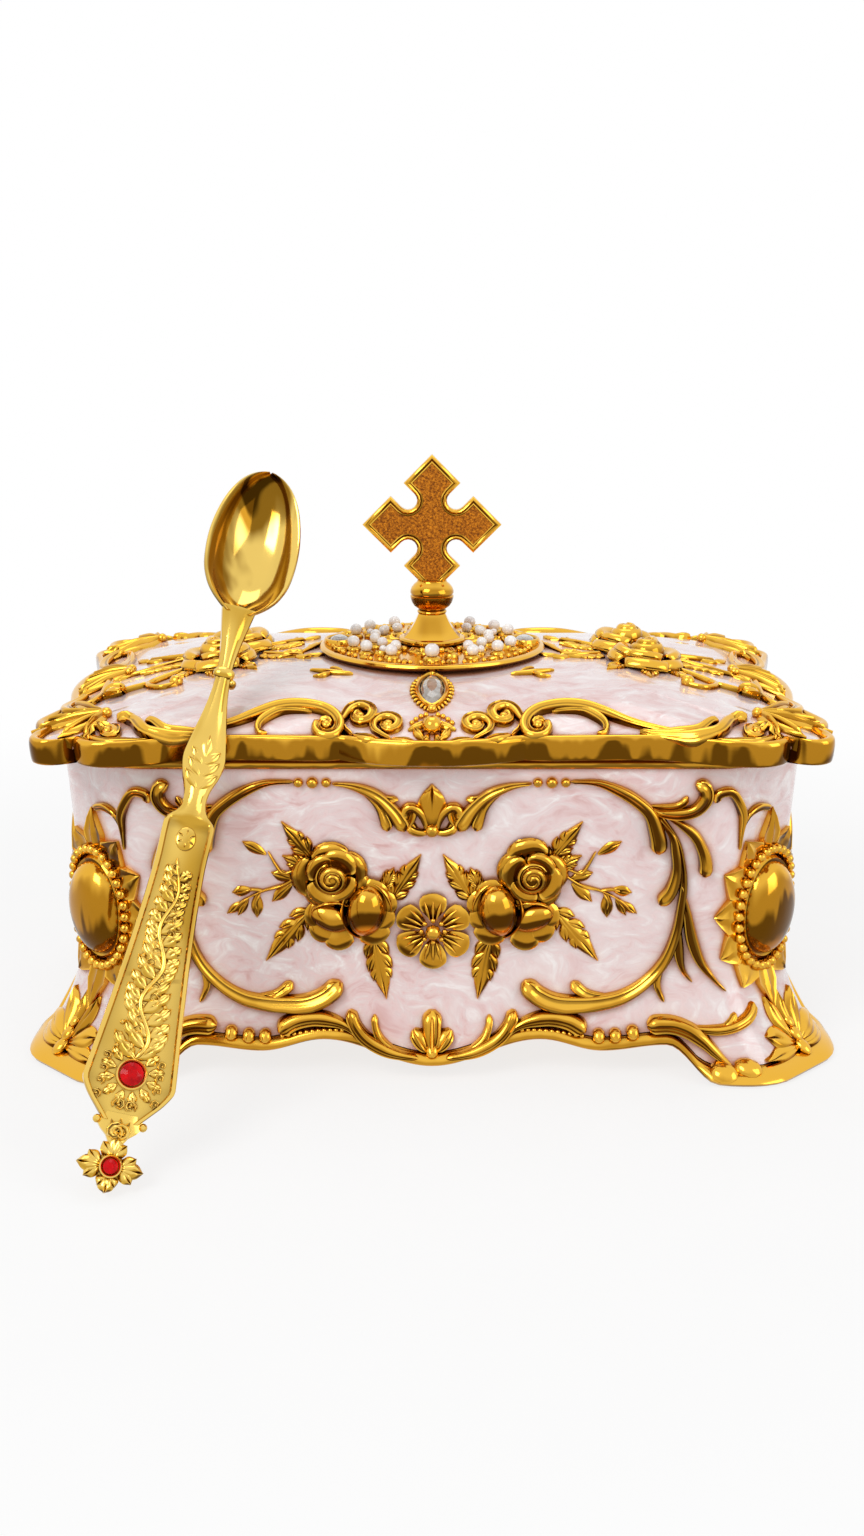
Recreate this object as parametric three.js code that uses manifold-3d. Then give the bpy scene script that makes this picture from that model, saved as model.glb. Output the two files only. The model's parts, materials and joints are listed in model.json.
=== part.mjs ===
// Incense casket: a cast box on four scroll feet, with enamelled walls, a hinged scalloped lid,
// a pearl plate that carries a cross, and the incense spoon that leans on the lid's front edge.
// Lengths are millimetres and +Z is up. Heights are counted from the floor that the feet stand on,
// and the last lines move the origin to the middle of the floor plate's underside.
import * as THREE from "three";
import { mergeVertices } from "three/addons/utils/BufferGeometryUtils.js";
import Module from "manifold-3d";

const wasm = await Module();
wasm.setup();

// Fits
const restGap = 0.3;
const pinGap = 0.3;

// Body plan at its top edge, and the wall's curve down to the feet
const bodyHalfWidth = 75;
const bodyHalfDepth = 45;
const cornerCut = 15;
const cornerRound = 11;
const bodyHeight = 64.6;
const waistHeight = 25;
const waistDraw = 2;
const footFlare = 9.3;
const cornerFlare = 4;
const castWall = 1.8;
const enamelThickness = 0.5;
const enamelSink = 0.5;
const lipHeight = 1.7;

// Scalloped lower edge: heights of the drops and arches, and where they stand from the middle
const edgeBandHeight = 2;
const apronDropHeight = 3.2;
const apronArchHeight = 7.8;
const apronScallopHeight = 5.8;
const apronOuterArchHeight = 6.8;
const apronShares = { arch: 0.39, scallop: 0.61, outerArch: 0.84, foot: 1.03 };
const apronSteps = 16;

// Floor plate and its screws
const floorUnderside = 10;
const floorThickness = 1.5;
const bossHeight = 9;
const bossRadius = 3.4;
const bossInset = 2.4;
const screwRadius = 1.2;
const screwHeadRadius = 2.3;
const screwHeadHeight = 1.1;
const screwLength = 8;

// Lid
const lidSideOverhang = 3;
const lidFrontOverhang = 6.3;
const lidHalfWidth = bodyHalfWidth + lidSideOverhang;
const lidHalfDepth = bodyHalfDepth + lidFrontOverhang;
const bandHeight = 5;
const bandEdge = 2.4;
const lidRise = 9.2;
const domeStart = 1.5;
const domePower = 3;
const lidWall = 1.6;
const lidLedgeOverlap = 1.5;
const frontLobeHalf = 17.8;
const frontLobeDepth = 4.7;
const sideLobeHalf = 15;
const sideLobeDepth = 2;
const sideLobeInset = 1.2;
const outlineStep = 9;

// Hinges at the back
const hingeAcross = 9;
const hingeLength = 13;
const hingeDrop = 1.8;
const hingeBehind = 2;
const knuckleRadius = 1.5;
const hingePinRadius = 0.6;
const leafThickness = 0.9;
const leafReach = 4;

// Pearl plate, its pearls and the finial
const plateRadius = 24;
const plateThickness = 1;
const plateHubRadius = 6;
const enamelHoleRadius = 19;
const studRadius = 1.5;
const studHoleRadius = 1.9;
const largePearlRadius = 1.8;
const smallPearlRadius = 1.2;
const finialHeight = 13.6;
const finialBaseRadius = 7.1;
const finialNeckRadius = 3.1;
const knopRadius = 4.7;
const nutRadius = 3;
const nutHeight = 2;

// Cross
const crossReach = 14.6;
const crossThickness = 2.6;
const crossBorder = 1;
const crossRecess = 0.7;
const crossInlay = 0.35;
const notchRadius = 1.95;
const notchDepth = 7.15;
const notchSides = 4;
const crossSink = 3.2;

// Corner medallions
const medallionHeight = bodyHeight / 2;
const medallionHalfWidth = 15;
const medallionHalfHeight = 18.2;
const beadRingHalfWidth = 9.3;
const beadRingHalfHeight = 11.9;
const cabochonHalfWidth = 7.2;
const cabochonHalfHeight = 9.2;
const cabochonRise = 4.4;
const medallionBase = 1.1;
const beadRadius = 1.05;
const petalCount = 14;
const petalValley = 0.78;

// Stones
const plateStone = { length: 8.4, width: 5.6 };
const slopeStone = { length: 12.8, width: 8 };
const bezelWall = 0.9;
const bezelHeight = 1.3;
const crystalRise = 1;
const slopeStoneDepth = 31.2;

// Spoon
const spoonLength = 143;
const spoonFootX = -57;
const spoonFootReach = 98;
const spoonTouchX = -43;
const spoonSideLean = 24.5;
const spoonTurn = 16;
const spoonFootLift = 0.4;
const spoonRestDepth = 0.9;
const bowlLength = 32.5;
const bowlWidth = 19.4;
const bowlDepth = 6;
const bowlWall = 0.9;
const handleThickness = 2;
const handleHalfWidth = 8.2;
const shoulderHalfWidth = 4.7;
const handleFoot = 11.6;
const handleWide = 19;
const shoulderHeight = 66;
const knopHeight = 96.5;
const largeRubyRadius = 2.1;
const smallRubyRadius = 1.4;
const largeRubyHeight = 20.9;
const terminalHeight = 5.6;

// Relief ornament
const reliefHeight = 1.5;
const lidOrnamentGap = 0.45;
const wallOrnamentGap = 0.5;
const footLeafLift = 0.2;
const strokeStep = 8;

// Closed meshes and solids

function surfaceOf(positions, indices) {
  const geometry = new THREE.BufferGeometry();
  geometry.setAttribute("position", new THREE.Float32BufferAttribute(positions, 3));
  geometry.setIndex(indices);
  return geometry;
}

function signedVolume(geometry) {
  const position = geometry.getAttribute("position");
  const index = geometry.getIndex();
  const [a, b, c] = [new THREE.Vector3(), new THREE.Vector3(), new THREE.Vector3()];
  let volume = 0;
  for (let i = 0; i < index.count; i += 3) {
    a.fromBufferAttribute(position, index.getX(i));
    b.fromBufferAttribute(position, index.getX(i + 1));
    c.fromBufferAttribute(position, index.getX(i + 2));
    volume += a.dot(b.cross(c)) / 6;
  }
  return volume;
}

// Turns every triangle over where the mesh has its faces pointing in.
function facedOutward(geometry) {
  if (signedVolume(geometry) >= 0) return geometry;
  const index = geometry.getIndex();
  for (let i = 0; i < index.count; i += 3) {
    const first = index.getX(i);
    index.setX(i, index.getX(i + 1));
    index.setX(i + 1, first);
  }
  return geometry;
}

// Skins a row of rings that have equal counts. A looped row joins its last ring to its first;
// otherwise each end is closed by a cap.
function loft(rings, looped) {
  const count = rings[0].length;
  const positions = rings.flat().flatMap((point) => [point.x, point.y, point.z]);
  const indices = [];
  const bands = looped ? rings.length : rings.length - 1;
  for (let band = 0; band < bands; band += 1) {
    const lower = band * count;
    const upper = ((band + 1) % rings.length) * count;
    for (let i = 0; i < count; i += 1) {
      const next = (i + 1) % count;
      indices.push(lower + i, lower + next, upper + next);
      indices.push(lower + i, upper + next, upper + i);
    }
  }
  if (!looped) {
    const last = (rings.length - 1) * count;
    for (let i = 1; i < count - 1; i += 1) {
      indices.push(0, i + 1, i);
      indices.push(last, last + i, last + i + 1);
    }
  }
  return facedOutward(surfaceOf(positions, indices));
}

function solidOf(geometry) {
  const bare = geometry.clone();
  bare.deleteAttribute("normal");
  bare.deleteAttribute("uv");
  const merged = facedOutward(mergeVertices(bare, 1e-5));
  return new wasm.Manifold(
    new wasm.Mesh({
      numProp: 3,
      vertProperties: new Float32Array(merged.getAttribute("position").array),
      triVerts: new Uint32Array(merged.getIndex().array),
    }),
  );
}

function geometryOf(solid) {
  const mesh = solid.getMesh();
  return surfaceOf(Array.from(mesh.vertProperties), Array.from(mesh.triVerts));
}

function joined(geometries) {
  return geometries.map(solidOf).reduce((whole, solid) => whole.add(solid));
}

// Moves every corner of a flat ornament, drawn with +Z as its relief, onto a curved surface.
function laidOn(geometry, place) {
  const moved = geometry.clone();
  const position = moved.getAttribute("position");
  for (let i = 0; i < position.count; i += 1) {
    const point = place(position.getX(i), position.getY(i), position.getZ(i));
    position.setXYZ(i, point.x, point.y, point.z);
  }
  return facedOutward(moved);
}

function extruded(shape, depth, curveSegments = 6) {
  return new THREE.ExtrudeGeometry(shape, { depth, bevelEnabled: false, curveSegments });
}

function turnedAboutZ(profile, segments) {
  const geometry = new THREE.LatheGeometry(profile.map(([x, y]) => new THREE.Vector2(x, y)), segments);
  return geometry.rotateX(Math.PI / 2);
}

function mesh(name, geometry, finish) {
  const part = new THREE.Mesh(geometry, finish.clone());
  part.geometry.computeVertexNormals();
  part.name = name;
  return part;
}

// Finishes
const deepGold = new THREE.MeshStandardMaterial({ color: 0xc8962a, roughness: 0.22, metalness: 1 });
const spoonGold = new THREE.MeshStandardMaterial({ color: 0xe6bd45, roughness: 0.2, metalness: 1 });
const pinkEnamel = new THREE.MeshStandardMaterial({ color: 0xe4cccc, roughness: 0.25, metalness: 0 });
const crystal = new THREE.MeshStandardMaterial({ color: 0xe8e2dc, roughness: 0.05, metalness: 0 });
const ruby = new THREE.MeshStandardMaterial({ color: 0xc80a14, roughness: 0.08, metalness: 0 });
const grainyBronze = new THREE.MeshStandardMaterial({ color: 0x96550a, roughness: 0.6, metalness: 0.5 });
const steel = new THREE.MeshStandardMaterial({ color: 0xa8a49c, roughness: 0.35, metalness: 1 });

// Body wall

// How far the wall stands out from its top edge at a height: drawn in at the waist, flared at the feet,
// and flared further where the share of the corner is one.
function wallReach(height, cornerShare = 0) {
  if (height >= waistHeight) {
    const rise = (height - waistHeight) / (bodyHeight - waistHeight);
    return -waistDraw * Math.cos((Math.PI / 2) * rise);
  }
  const fall = (waistHeight - height) / waistHeight;
  return (footFlare + cornerFlare * cornerShare) * fall * fall - waistDraw;
}

const eighthTurn = Math.PI / 4;
const cornerTangent = cornerRound * Math.tan(eighthTurn / 2);
const frontRun = bodyHalfWidth - cornerCut - cornerTangent;
const roundRun = cornerRound * eighthTurn;
const cantRun = cornerCut * Math.SQRT2 - 2 * cornerTangent;
const sideRun = bodyHalfDepth - cornerCut - cornerTangent;
const quarterRun = frontRun + roundRun + cantRun + roundRun + sideRun;
const cornerRun = frontRun + roundRun + cantRun / 2;

// One on the canted corner, nothing on the walls, and in between on the roundings.
function cornerShareAt(run) {
  const inside = Math.min(run - frontRun, quarterRun - sideRun - run) / roundRun;
  return THREE.MathUtils.clamp(inside, 0, 1);
}

// Point and outward normal on the front right quarter of the plan, by the length run from the front middle.
function quarterPlan(run) {
  const turned = (centreX, centreY, angle) => {
    const normal = new THREE.Vector2(Math.sin(angle), -Math.cos(angle));
    return { point: normal.clone().multiplyScalar(cornerRound).add({ x: centreX, y: centreY }), normal };
  };
  if (run <= frontRun) {
    return { point: new THREE.Vector2(run, -bodyHalfDepth), normal: new THREE.Vector2(0, -1) };
  }
  const frontCentreY = cornerRound - bodyHalfDepth;
  const sideCentreX = bodyHalfWidth - cornerRound;
  if (run <= frontRun + roundRun) {
    return turned(frontRun, frontCentreY, (run - frontRun) / cornerRound);
  }
  if (run <= frontRun + roundRun + cantRun) {
    const start = turned(frontRun, frontCentreY, eighthTurn);
    const along = (run - frontRun - roundRun) * Math.SQRT1_2;
    return { point: start.point.add({ x: along, y: along }), normal: start.normal };
  }
  if (run <= quarterRun - sideRun) {
    const angle = eighthTurn + (run - frontRun - roundRun - cantRun) / cornerRound;
    return turned(sideCentreX, -sideRun, angle);
  }
  return { point: new THREE.Vector2(bodyHalfWidth, run - quarterRun), normal: new THREE.Vector2(1, 0) };
}

// A place on the wall: the run along the plan from the front middle, a height, and a lift off the gold edges.
function wallPoint(run, height, lift) {
  const wrapped = run > 2 * quarterRun ? run - 4 * quarterRun : run;
  const across = wrapped < 0 ? -1 : 1;
  const length = Math.abs(wrapped);
  const front = length > quarterRun ? -1 : 1;
  const quarterLength = front > 0 ? length : 2 * quarterRun - length;
  const { point, normal } = quarterPlan(quarterLength);
  const reach = wallReach(height, cornerShareAt(quarterLength)) + lift;
  const x = across * (point.x + normal.x * reach);
  const y = front * (point.y + normal.y * reach);
  return new THREE.Vector3(x, y, height);
}

function planRuns() {
  const quarter = [0, frontRun];
  quarter.push(frontRun + roundRun / 2, frontRun + roundRun, frontRun + roundRun + cantRun);
  quarter.push(quarterRun - sideRun - roundRun / 2, quarterRun - sideRun);
  const half = [...quarter, ...quarter.toReversed().map((run) => 2 * quarterRun - run)];
  return [...half, ...half.slice(1, -1).toReversed().map((run) => -run)];
}

function wallLevels(bottom, top) {
  const footSteps = 4;
  const upperSteps = 3;
  const foot = Array.from({ length: footSteps }, (_, i) => (waistHeight * i) / footSteps);
  const upperStep = (bodyHeight - waistHeight) / upperSteps;
  const upper = Array.from({ length: upperSteps }, (_, i) => waistHeight + upperStep * i);
  const between = [...foot, ...upper].filter((level) => level > bottom + 0.5 && level < top - 0.5);
  return [bottom, ...between, top];
}

function wallShell(outerLift, innerLift, bottom, top) {
  const levels = wallLevels(bottom, top);
  const ring = (lift) => (height) => planRuns().map((run) => wallPoint(run, height, lift));
  return solidOf(loft([...levels.map(ring(outerLift)), ...levels.toReversed().map(ring(innerLift))], true));
}

// The scalloped edge takes its places as shares of the straight run that it hangs under.
function apronUnder(straightRun) {
  return {
    arch: apronShares.arch * straightRun,
    scallop: apronShares.scallop * straightRun,
    outerArch: apronShares.outerArch * straightRun,
    foot: apronShares.foot * straightRun,
  };
}

const frontApron = apronUnder(frontRun);
const sideApron = apronUnder(sideRun);

// Height of the scalloped lower edge at a distance from the middle of a side, joined by half cosines.
function apronEdge(apron, distance) {
  const stations = [
    [0, apronDropHeight],
    [apron.arch, apronArchHeight],
    [apron.scallop, apronScallopHeight],
    [apron.outerArch, apronOuterArchHeight],
    [apron.foot, 0],
  ];
  const at = Math.abs(distance);
  const index = stations.findIndex(([place]) => place >= at);
  if (index <= 0) return index === 0 ? apronDropHeight : 0;
  const [from, fromHeight] = stations[index - 1];
  const [to, toHeight] = stations[index];
  const swing = (1 - Math.cos((Math.PI * (at - from)) / (to - from))) / 2;
  return fromHeight + (toHeight - fromHeight) * swing;
}

// Block under the scalloped edge, raised by a height, through the whole body along Y.
function underApron(apron, raise, reach) {
  const below = 5;
  const shape = new THREE.Shape();
  shape.moveTo(-reach, -below);
  shape.lineTo(reach, -below);
  if (reach > apron.foot) shape.lineTo(reach, raise);
  for (let i = 0; i <= apronSteps; i += 1) {
    const x = apron.foot * (1 - (2 * i) / apronSteps);
    shape.lineTo(x, apronEdge(apron, x) + raise);
  }
  if (reach > apron.foot) shape.lineTo(-reach, raise);
  const depth = 4 * bodyHalfWidth;
  return extruded(shape, depth).translate(0, 0, -depth / 2).rotateX(Math.PI / 2);
}

function underBothAprons(raise, whole) {
  const wide = whole ? bodyHalfWidth + footFlare + cornerFlare : frontApron.foot;
  const deep = whole ? bodyHalfDepth + footFlare + cornerFlare : sideApron.foot;
  const front = underApron(frontApron, raise, wide);
  const side = underApron(sideApron, raise, deep).rotateZ(Math.PI / 2);
  return joined([front, side]);
}

function slab(bottom, top) {
  const size = 4 * bodyHalfWidth;
  return solidOf(new THREE.BoxGeometry(size, size, top - bottom).translate(0, 0, (bottom + top) / 2));
}

const fieldLift = -(enamelSink + enamelThickness + restGap);
const innerLift = fieldLift - castWall;

// The bosses stand inside the corners, clear of the wall where it leans in over their tops.
function bossCentres() {
  const { point, normal } = quarterPlan(cornerRun);
  const reach = wallReach(floorUnderside + floorThickness + bossHeight) + innerLift - bossInset;
  const x = point.x + normal.x * reach;
  const y = point.y + normal.y * reach;
  return [[x, y], [-x, y], [x, -y], [-x, -y]];
}

function cylinderUp(radius, bottom, height, segments) {
  const upright = new THREE.CylinderGeometry(radius, radius, height, segments).rotateX(Math.PI / 2);
  return upright.translate(0, 0, bottom + height / 2);
}

function bodyCasting() {
  const field = wallShell(fieldLift, innerLift, 0, bodyHeight);
  const proud = wallShell(0, fieldLift - castWall / 2, 0, bodyHeight);
  const edges = slab(bodyHeight - lipHeight, bodyHeight + 1).add(underBothAprons(edgeBandHeight, true));
  let casting = field.add(proud.intersect(edges));
  const bossBottom = floorUnderside + floorThickness + restGap;
  for (const [x, y] of bossCentres()) {
    const boss = cylinderUp(bossRadius, bossBottom, bossHeight, 8).translate(x, y, 0);
    const hole = cylinderUp(screwRadius + restGap, bossBottom - 1, screwLength, 8).translate(x, y, 0);
    casting = casting.add(solidOf(boss)).subtract(solidOf(hole));
  }
  return geometryOf(casting.subtract(underBothAprons(0, false)));
}

function bodyEnamel() {
  const outer = -enamelSink;
  const skin = wallShell(outer, outer - enamelThickness, 0.5, bodyHeight - lipHeight - restGap);
  return geometryOf(skin.subtract(underBothAprons(edgeBandHeight + restGap, true)));
}

function floorPlate() {
  const lift = innerLift - restGap;
  const top = floorUnderside + floorThickness;
  const ring = (height) => planRuns().map((run) => wallPoint(run, top, lift).setZ(height));
  let plate = solidOf(loft([ring(floorUnderside), ring(top)], false));
  for (const [x, y] of bossCentres()) {
    const hole = cylinderUp(screwRadius + restGap, floorUnderside - 1, floorThickness + 2, 8);
    plate = plate.subtract(solidOf(hole.translate(x, y, 0)));
  }
  return geometryOf(plate);
}

function floorScrew(x, y) {
  const headBottom = floorUnderside - restGap - screwHeadHeight;
  const profile = [
    [0, headBottom],
    [screwHeadRadius * 0.8, headBottom],
    [screwHeadRadius, headBottom + screwHeadHeight * 0.4],
    [screwHeadRadius, headBottom + screwHeadHeight],
    [screwRadius, headBottom + screwHeadHeight],
    [screwRadius, headBottom + screwLength],
    [0, headBottom + screwLength],
  ];
  return turnedAboutZ(profile, 6).translate(x, y, 0);
}

// Flat ornament, drawn with +Z as its relief

function growAndFade(share) {
  return 0.22 + 0.78 * Math.sin(Math.PI * share) ** 0.7;
}

// A ridged stroke along a smooth line, swelling in its middle.
function stroke(points, halfWidth, height) {
  const line = new THREE.SplineCurve(points.map(([x, y]) => new THREE.Vector2(x, y)));
  const steps = Math.max(3, Math.round(line.getLength() / strokeStep));
  const section = [[-1, 0], [0, 1], [1, 0]];
  const rings = Array.from({ length: steps + 1 }, (_, i) => {
    const share = i / steps;
    const centre = line.getPointAt(share);
    const heading = line.getTangentAt(share);
    const swell = growAndFade(share);
    return section.map(([side, rise]) => {
      const off = side * halfWidth * swell;
      const lift = rise * height * (0.4 + 0.6 * swell);
      return new THREE.Vector3(centre.x - heading.y * off, centre.y + heading.x * off, lift);
    });
  });
  return loft(rings, false);
}

function arcPoints(centreX, centreY, radiusX, radiusY, fromDegrees, toDegrees, count) {
  return Array.from({ length: count }, (_, i) => {
    const angle = THREE.MathUtils.degToRad(THREE.MathUtils.lerp(fromDegrees, toDegrees, i / (count - 1)));
    return [centreX + radiusX * Math.cos(angle), centreY + radiusY * Math.sin(angle)];
  });
}

// A pointed leaf with a raised midrib, from its root along a heading.
function leaf(x, y, headingDegrees, length, halfWidth, height) {
  const stations = [[0, 0.35], [0.45, 1], [1, 0.1]];
  const rings = stations.map(([share, width]) => {
    const across = width * halfWidth;
    const rise = height * (0.45 + 0.55 * Math.sin(Math.PI * Math.min(1, share + 0.25)));
    return [
      new THREE.Vector3(share * length, -across, 0),
      new THREE.Vector3(share * length, 0, Math.max(rise, 0.4)),
      new THREE.Vector3(share * length, across, 0),
    ];
  });
  const turn = THREE.MathUtils.degToRad(headingDegrees);
  return loft(rings, false).rotateZ(turn).translate(x, y, 0);
}

// A disc whose edge has round lobes, domed towards its middle.
function lobedDome(radius, lobes, lobeShare, bottom, rise, turn) {
  const around = lobes * 2;
  const ring = (scale, height) =>
    Array.from({ length: around }, (_, i) => {
      const angle = (2 * Math.PI * i) / around + turn;
      const lobe = i % 2 === 0 ? 1 - lobeShare : 1;
      const reach = radius * scale * lobe;
      return new THREE.Vector3(reach * Math.cos(angle), reach * Math.sin(angle), height);
    });
  return loft([ring(1, bottom), ring(0.8, bottom + rise)], false);
}

// A rose in relief: three whorls of petals, each smaller, higher and turned against the last.
function rose(x, y, radius) {
  const whorls = [
    lobedDome(radius, 5, 0.16, 0, 1.5, 0),
    lobedDome(radius * 0.68, 5, 0.14, 0.8, 1.7, 0.6),
    lobedDome(radius * 0.36, 4, 0.12, 1.9, 1.5, 0.2),
  ];
  return whorls.map((whorl) => whorl.translate(x, y, 0));
}

function bead(x, y, lift, radius) {
  return new THREE.OctahedronGeometry(radius, 0).translate(x, y, lift);
}

function mirrored(points) {
  return points.map(([x, y]) => [-x, y]);
}

// Draws each stroke on the right and again as its mirror image on the left.
function bothSides(lines) {
  return lines.flatMap(([points, halfWidth]) => [
    stroke(points, halfWidth, reliefHeight),
    stroke(mirrored(points), halfWidth, reliefHeight),
  ]);
}

// The relief is drawn on walls and a lid of these sizes, and stretches with them.
const drawnWallHeight = 62.7;
const drawnFrontRun = 55.4;
const drawnSideRun = 25.4;
const drawnLid = { halfWidth: 80, halfDepth: 53 };
const upStretch = bodyHeight / drawnWallHeight;
const longStretch = frontRun / drawnFrontRun;
const endStretch = sideRun / drawnSideRun;

function stretched(pieces, across, up) {
  return pieces.map((piece) => piece.scale(across, up, 1));
}

// The C scroll that frames half of a long wall, on an oval, with its curled foot.
const frameOval = { x: 30, y: 36, halfWidth: 18.5, halfHeight: 22.3 };

function onFrame(degrees) {
  const angle = THREE.MathUtils.degToRad(degrees);
  return [
    frameOval.x + frameOval.halfWidth * Math.cos(angle),
    frameOval.y + frameOval.halfHeight * Math.sin(angle),
  ];
}

function longWallFrame() {
  const oval = arcPoints(frameOval.x, frameOval.y, frameOval.halfWidth, frameOval.halfHeight, 90, -92, 12);
  const lines = [
    [[...oval, [22.5, 15.4], [17.7, 19.4]], 1.15],
    [[onFrame(52), [51, 52], [54.8, 56.2], [58, 56.6], [61.2, 53.6], [61.2, 49.4]], 0.9],
    [[onFrame(36), [50.6, 46.8], [53.8, 40.4]], 0.9],
    [[onFrame(8), [50.4, 31], [52, 24.4], [56.6, 17.6]], 1.2],
    [[[26, 19], [30.5, 15.2], onFrame(-66)], 0.7],
    [[onFrame(-34), [44.2, 18.6], [46, 14.6]], 0.7],
  ];
  return bothSides(lines);
}

// At the front the two frames meet in a swag under a crown of leaves.
function frontSwag() {
  const lines = [
    [[onFrame(84), [24, 58.4], [17.6, 57.8], [11.6, 56], [7.6, 52.6], [5.4, 48.8]], 0.9],
    [[[0, 48.4], [4.4, 48.6], [8, 51.6]], 0.8],
  ];
  const crown = [25, 57.5, 90, 122.5, 155].map((heading) =>
    leaf(0, 48.2, heading, heading === 90 ? 9 : 6.8, 1.5, 1.4),
  );
  return [...bothSides(lines), ...crown];
}

// At the back the hinges take that place, and a festoon joins the feet of the frames.
function backFestoon() {
  const drops = [50, 90, 130].map((heading) => leaf(0, 17.8, heading, heading === 90 ? 9 : 7, 1.5, 1.4));
  return [...bothSides([[[[27, 13.6], [20, 15.8], [10, 18], [0, 18.6], [-3, 18.6]], 0.9]]), ...drops];
}

function longWallRoses() {
  const pieces = [];
  for (const side of [1, -1]) {
    pieces.push(...rose(side * 20, 39.2, 7.4), ...rose(side * 12.8, 34, 5.2));
    const leaves = [
      [10, 35.6, 112, 8.5, 1.7],
      [24, 43.6, 60, 8, 1.6],
      [23, 35.4, -35, 10, 1.8],
      [10.6, 32, -52, 11.5, 1.7],
      [25, 41, 22, 11, 0.8],
      [25, 39.6, -10, 12.5, 0.8],
      [11, 32.6, 205, 7, 1.6],
    ];
    for (const [x, y, heading, length, halfWidth] of leaves) {
      pieces.push(leaf(side * x, y, side > 0 ? heading : 180 - heading, length, halfWidth, 1.2));
    }
  }
  const flowerHeight = 29;
  pieces.push(lobedDome(7.6, 6, 0.24, 0, 1.5, 0.5).translate(0, flowerHeight, 0));
  pieces.push(lobedDome(1.9, 4, 0.02, 1, 1.6, 0).translate(0, flowerHeight, 0));
  return pieces;
}

// The garland that follows the scalloped edge of a wall, with a palmette over the middle drop.
function apronGarland(apron) {
  const halfWidth = 0.8;
  const offset = edgeBandHeight + restGap + halfWidth + 0.3;
  const step = apron.arch / 5;
  const count = Math.round((apron.foot - 4) / step);
  const line = Array.from({ length: 2 * count + 1 }, (_, i) => {
    const x = (i - count) * step;
    return [x, apronEdge(apron, x) + offset];
  });
  const middle = apronDropHeight + offset;
  const palmette = [20, 55, 90, 125, 160].map((heading) =>
    leaf(0, middle - 0.4, heading, heading === 90 ? 8.2 : 6, 1.4, 1.4),
  );
  const archTop = apronArchHeight + offset;
  const onLine = (x) => [x, apronEdge(apron, x) + offset];
  const inner = [onLine(apron.arch * 1.2), [apron.arch * 0.9, archTop + 1.2], [apron.arch * 0.8, archTop + 5]];
  const outer = [onLine(apron.outerArch * 0.94), [apron.foot - 1, archTop - 3], [apron.foot + 5, archTop + 1.6]];
  const curls = bothSides([[inner, halfWidth], [outer, halfWidth]]);
  return [stroke(line, halfWidth, reliefHeight), ...palmette, ...curls];
}

function endWallFrame() {
  const oval = arcPoints(9, 36, 15, 19, 80, -92, 10);
  const lines = [
    [[...oval, [3, 17.6], [0, 19]], 1.1],
    [[[-1, 56], [5, 57.6], [9, 56.4], [12, 54.4]], 0.9],
  ];
  const crown = [-40, -90, -140].map((heading) => leaf(0, 56.8, heading, 8, 1.6, 1.4));
  return [...bothSides(lines), ...crown];
}

function endWallRoses() {
  const roseHeight = 38;
  const rootRadius = 4.6;
  const pieces = [...rose(0, roseHeight, 6.8)];
  for (const heading of [20, 60, 120, 160, 215, 270, 325]) {
    const turn = THREE.MathUtils.degToRad(heading);
    const x = rootRadius * Math.cos(turn);
    const y = roseHeight + rootRadius * Math.sin(turn);
    pieces.push(leaf(x, y, heading, 7.6, 1.6, 1.2));
  }
  return pieces;
}

function footLeaf() {
  const length = (heading) => (heading === 90 ? 9.4 : 8.6);
  const pieces = [50, 90, 130].map((heading) => leaf(0, 3.4, heading, length(heading), 2.4, 1.5));
  return [...pieces, bead(0, 4, 1.2, 1.6)];
}

const ornamentLift = wallOrnamentGap - enamelSink;

function onWall(pieces, run, extraLift = 0) {
  const lift = ornamentLift + extraLift;
  return laidOn(geometryOf(joined(pieces)), (x, y, z) => wallPoint(run + x, y, z + lift));
}

// Corner medallions

function ovalDisc(halfWidth, halfHeight, bottom, profile) {
  const around = 14;
  const ring = (scale, rise) =>
    Array.from({ length: around }, (_, i) => {
      const angle = (2 * Math.PI * i) / around;
      const x = halfWidth * scale * Math.cos(angle);
      const y = halfHeight * scale * Math.sin(angle);
      return new THREE.Vector3(x, y, bottom + rise);
    });
  return loft(profile.map(([scale, rise]) => ring(scale, rise)), false);
}

// One medallion: pointed petals round an oval plate that carries a ring of beads.
function medallion() {
  const around = 2 * petalCount;
  const ring = (halfWidth, halfHeight, heightOf) =>
    Array.from({ length: around }, (_, i) => {
      const angle = (2 * Math.PI * i) / around;
      return new THREE.Vector3(halfWidth(i) * Math.cos(angle), halfHeight(i) * Math.sin(angle), heightOf(i));
    });
  const petal = (i, size) => (i % 2 === 0 ? size : size * petalValley);
  const flat = (size) => () => size;
  const beadTop = (i) => medallionBase + (i % 2 === 0 ? 1.7 : 1) * beadRadius;
  const beadOut = beadRadius * 1.1;
  const outline = (height) =>
    ring((i) => petal(i, medallionHalfWidth), (i) => petal(i, medallionHalfHeight), flat(height));
  const oval = (offset, heightOf) =>
    ring(flat(beadRingHalfWidth + offset), flat(beadRingHalfHeight + offset), heightOf);
  const middle = (share, height) => ring(flat(beadRingHalfWidth * share), flat(beadRingHalfHeight * share), flat(height));
  const rings = [
    middle(0.5, 0),
    oval(0, flat(0)),
    outline(0),
    oval(beadOut, flat(medallionBase)),
    oval(0, beadTop),
    oval(-beadOut, flat(medallionBase)),
    middle(0.3, medallionBase),
  ];
  return [loft(rings, false)];
}

function cabochon() {
  return [
    ovalDisc(cabochonHalfWidth, cabochonHalfHeight, medallionBase + restGap + 0.1, [
      [1, 0],
      [0.97, cabochonRise * 0.4],
      [0.7, cabochonRise * 0.85],
      [0.25, cabochonRise],
    ]),
  ];
}

function raisedBy(pieces, height) {
  return pieces.map((piece) => piece.translate(0, height, 0));
}

// Lid

const bandBottom = bodyHeight + restGap;
const bandTop = bandBottom + bandHeight;

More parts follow.
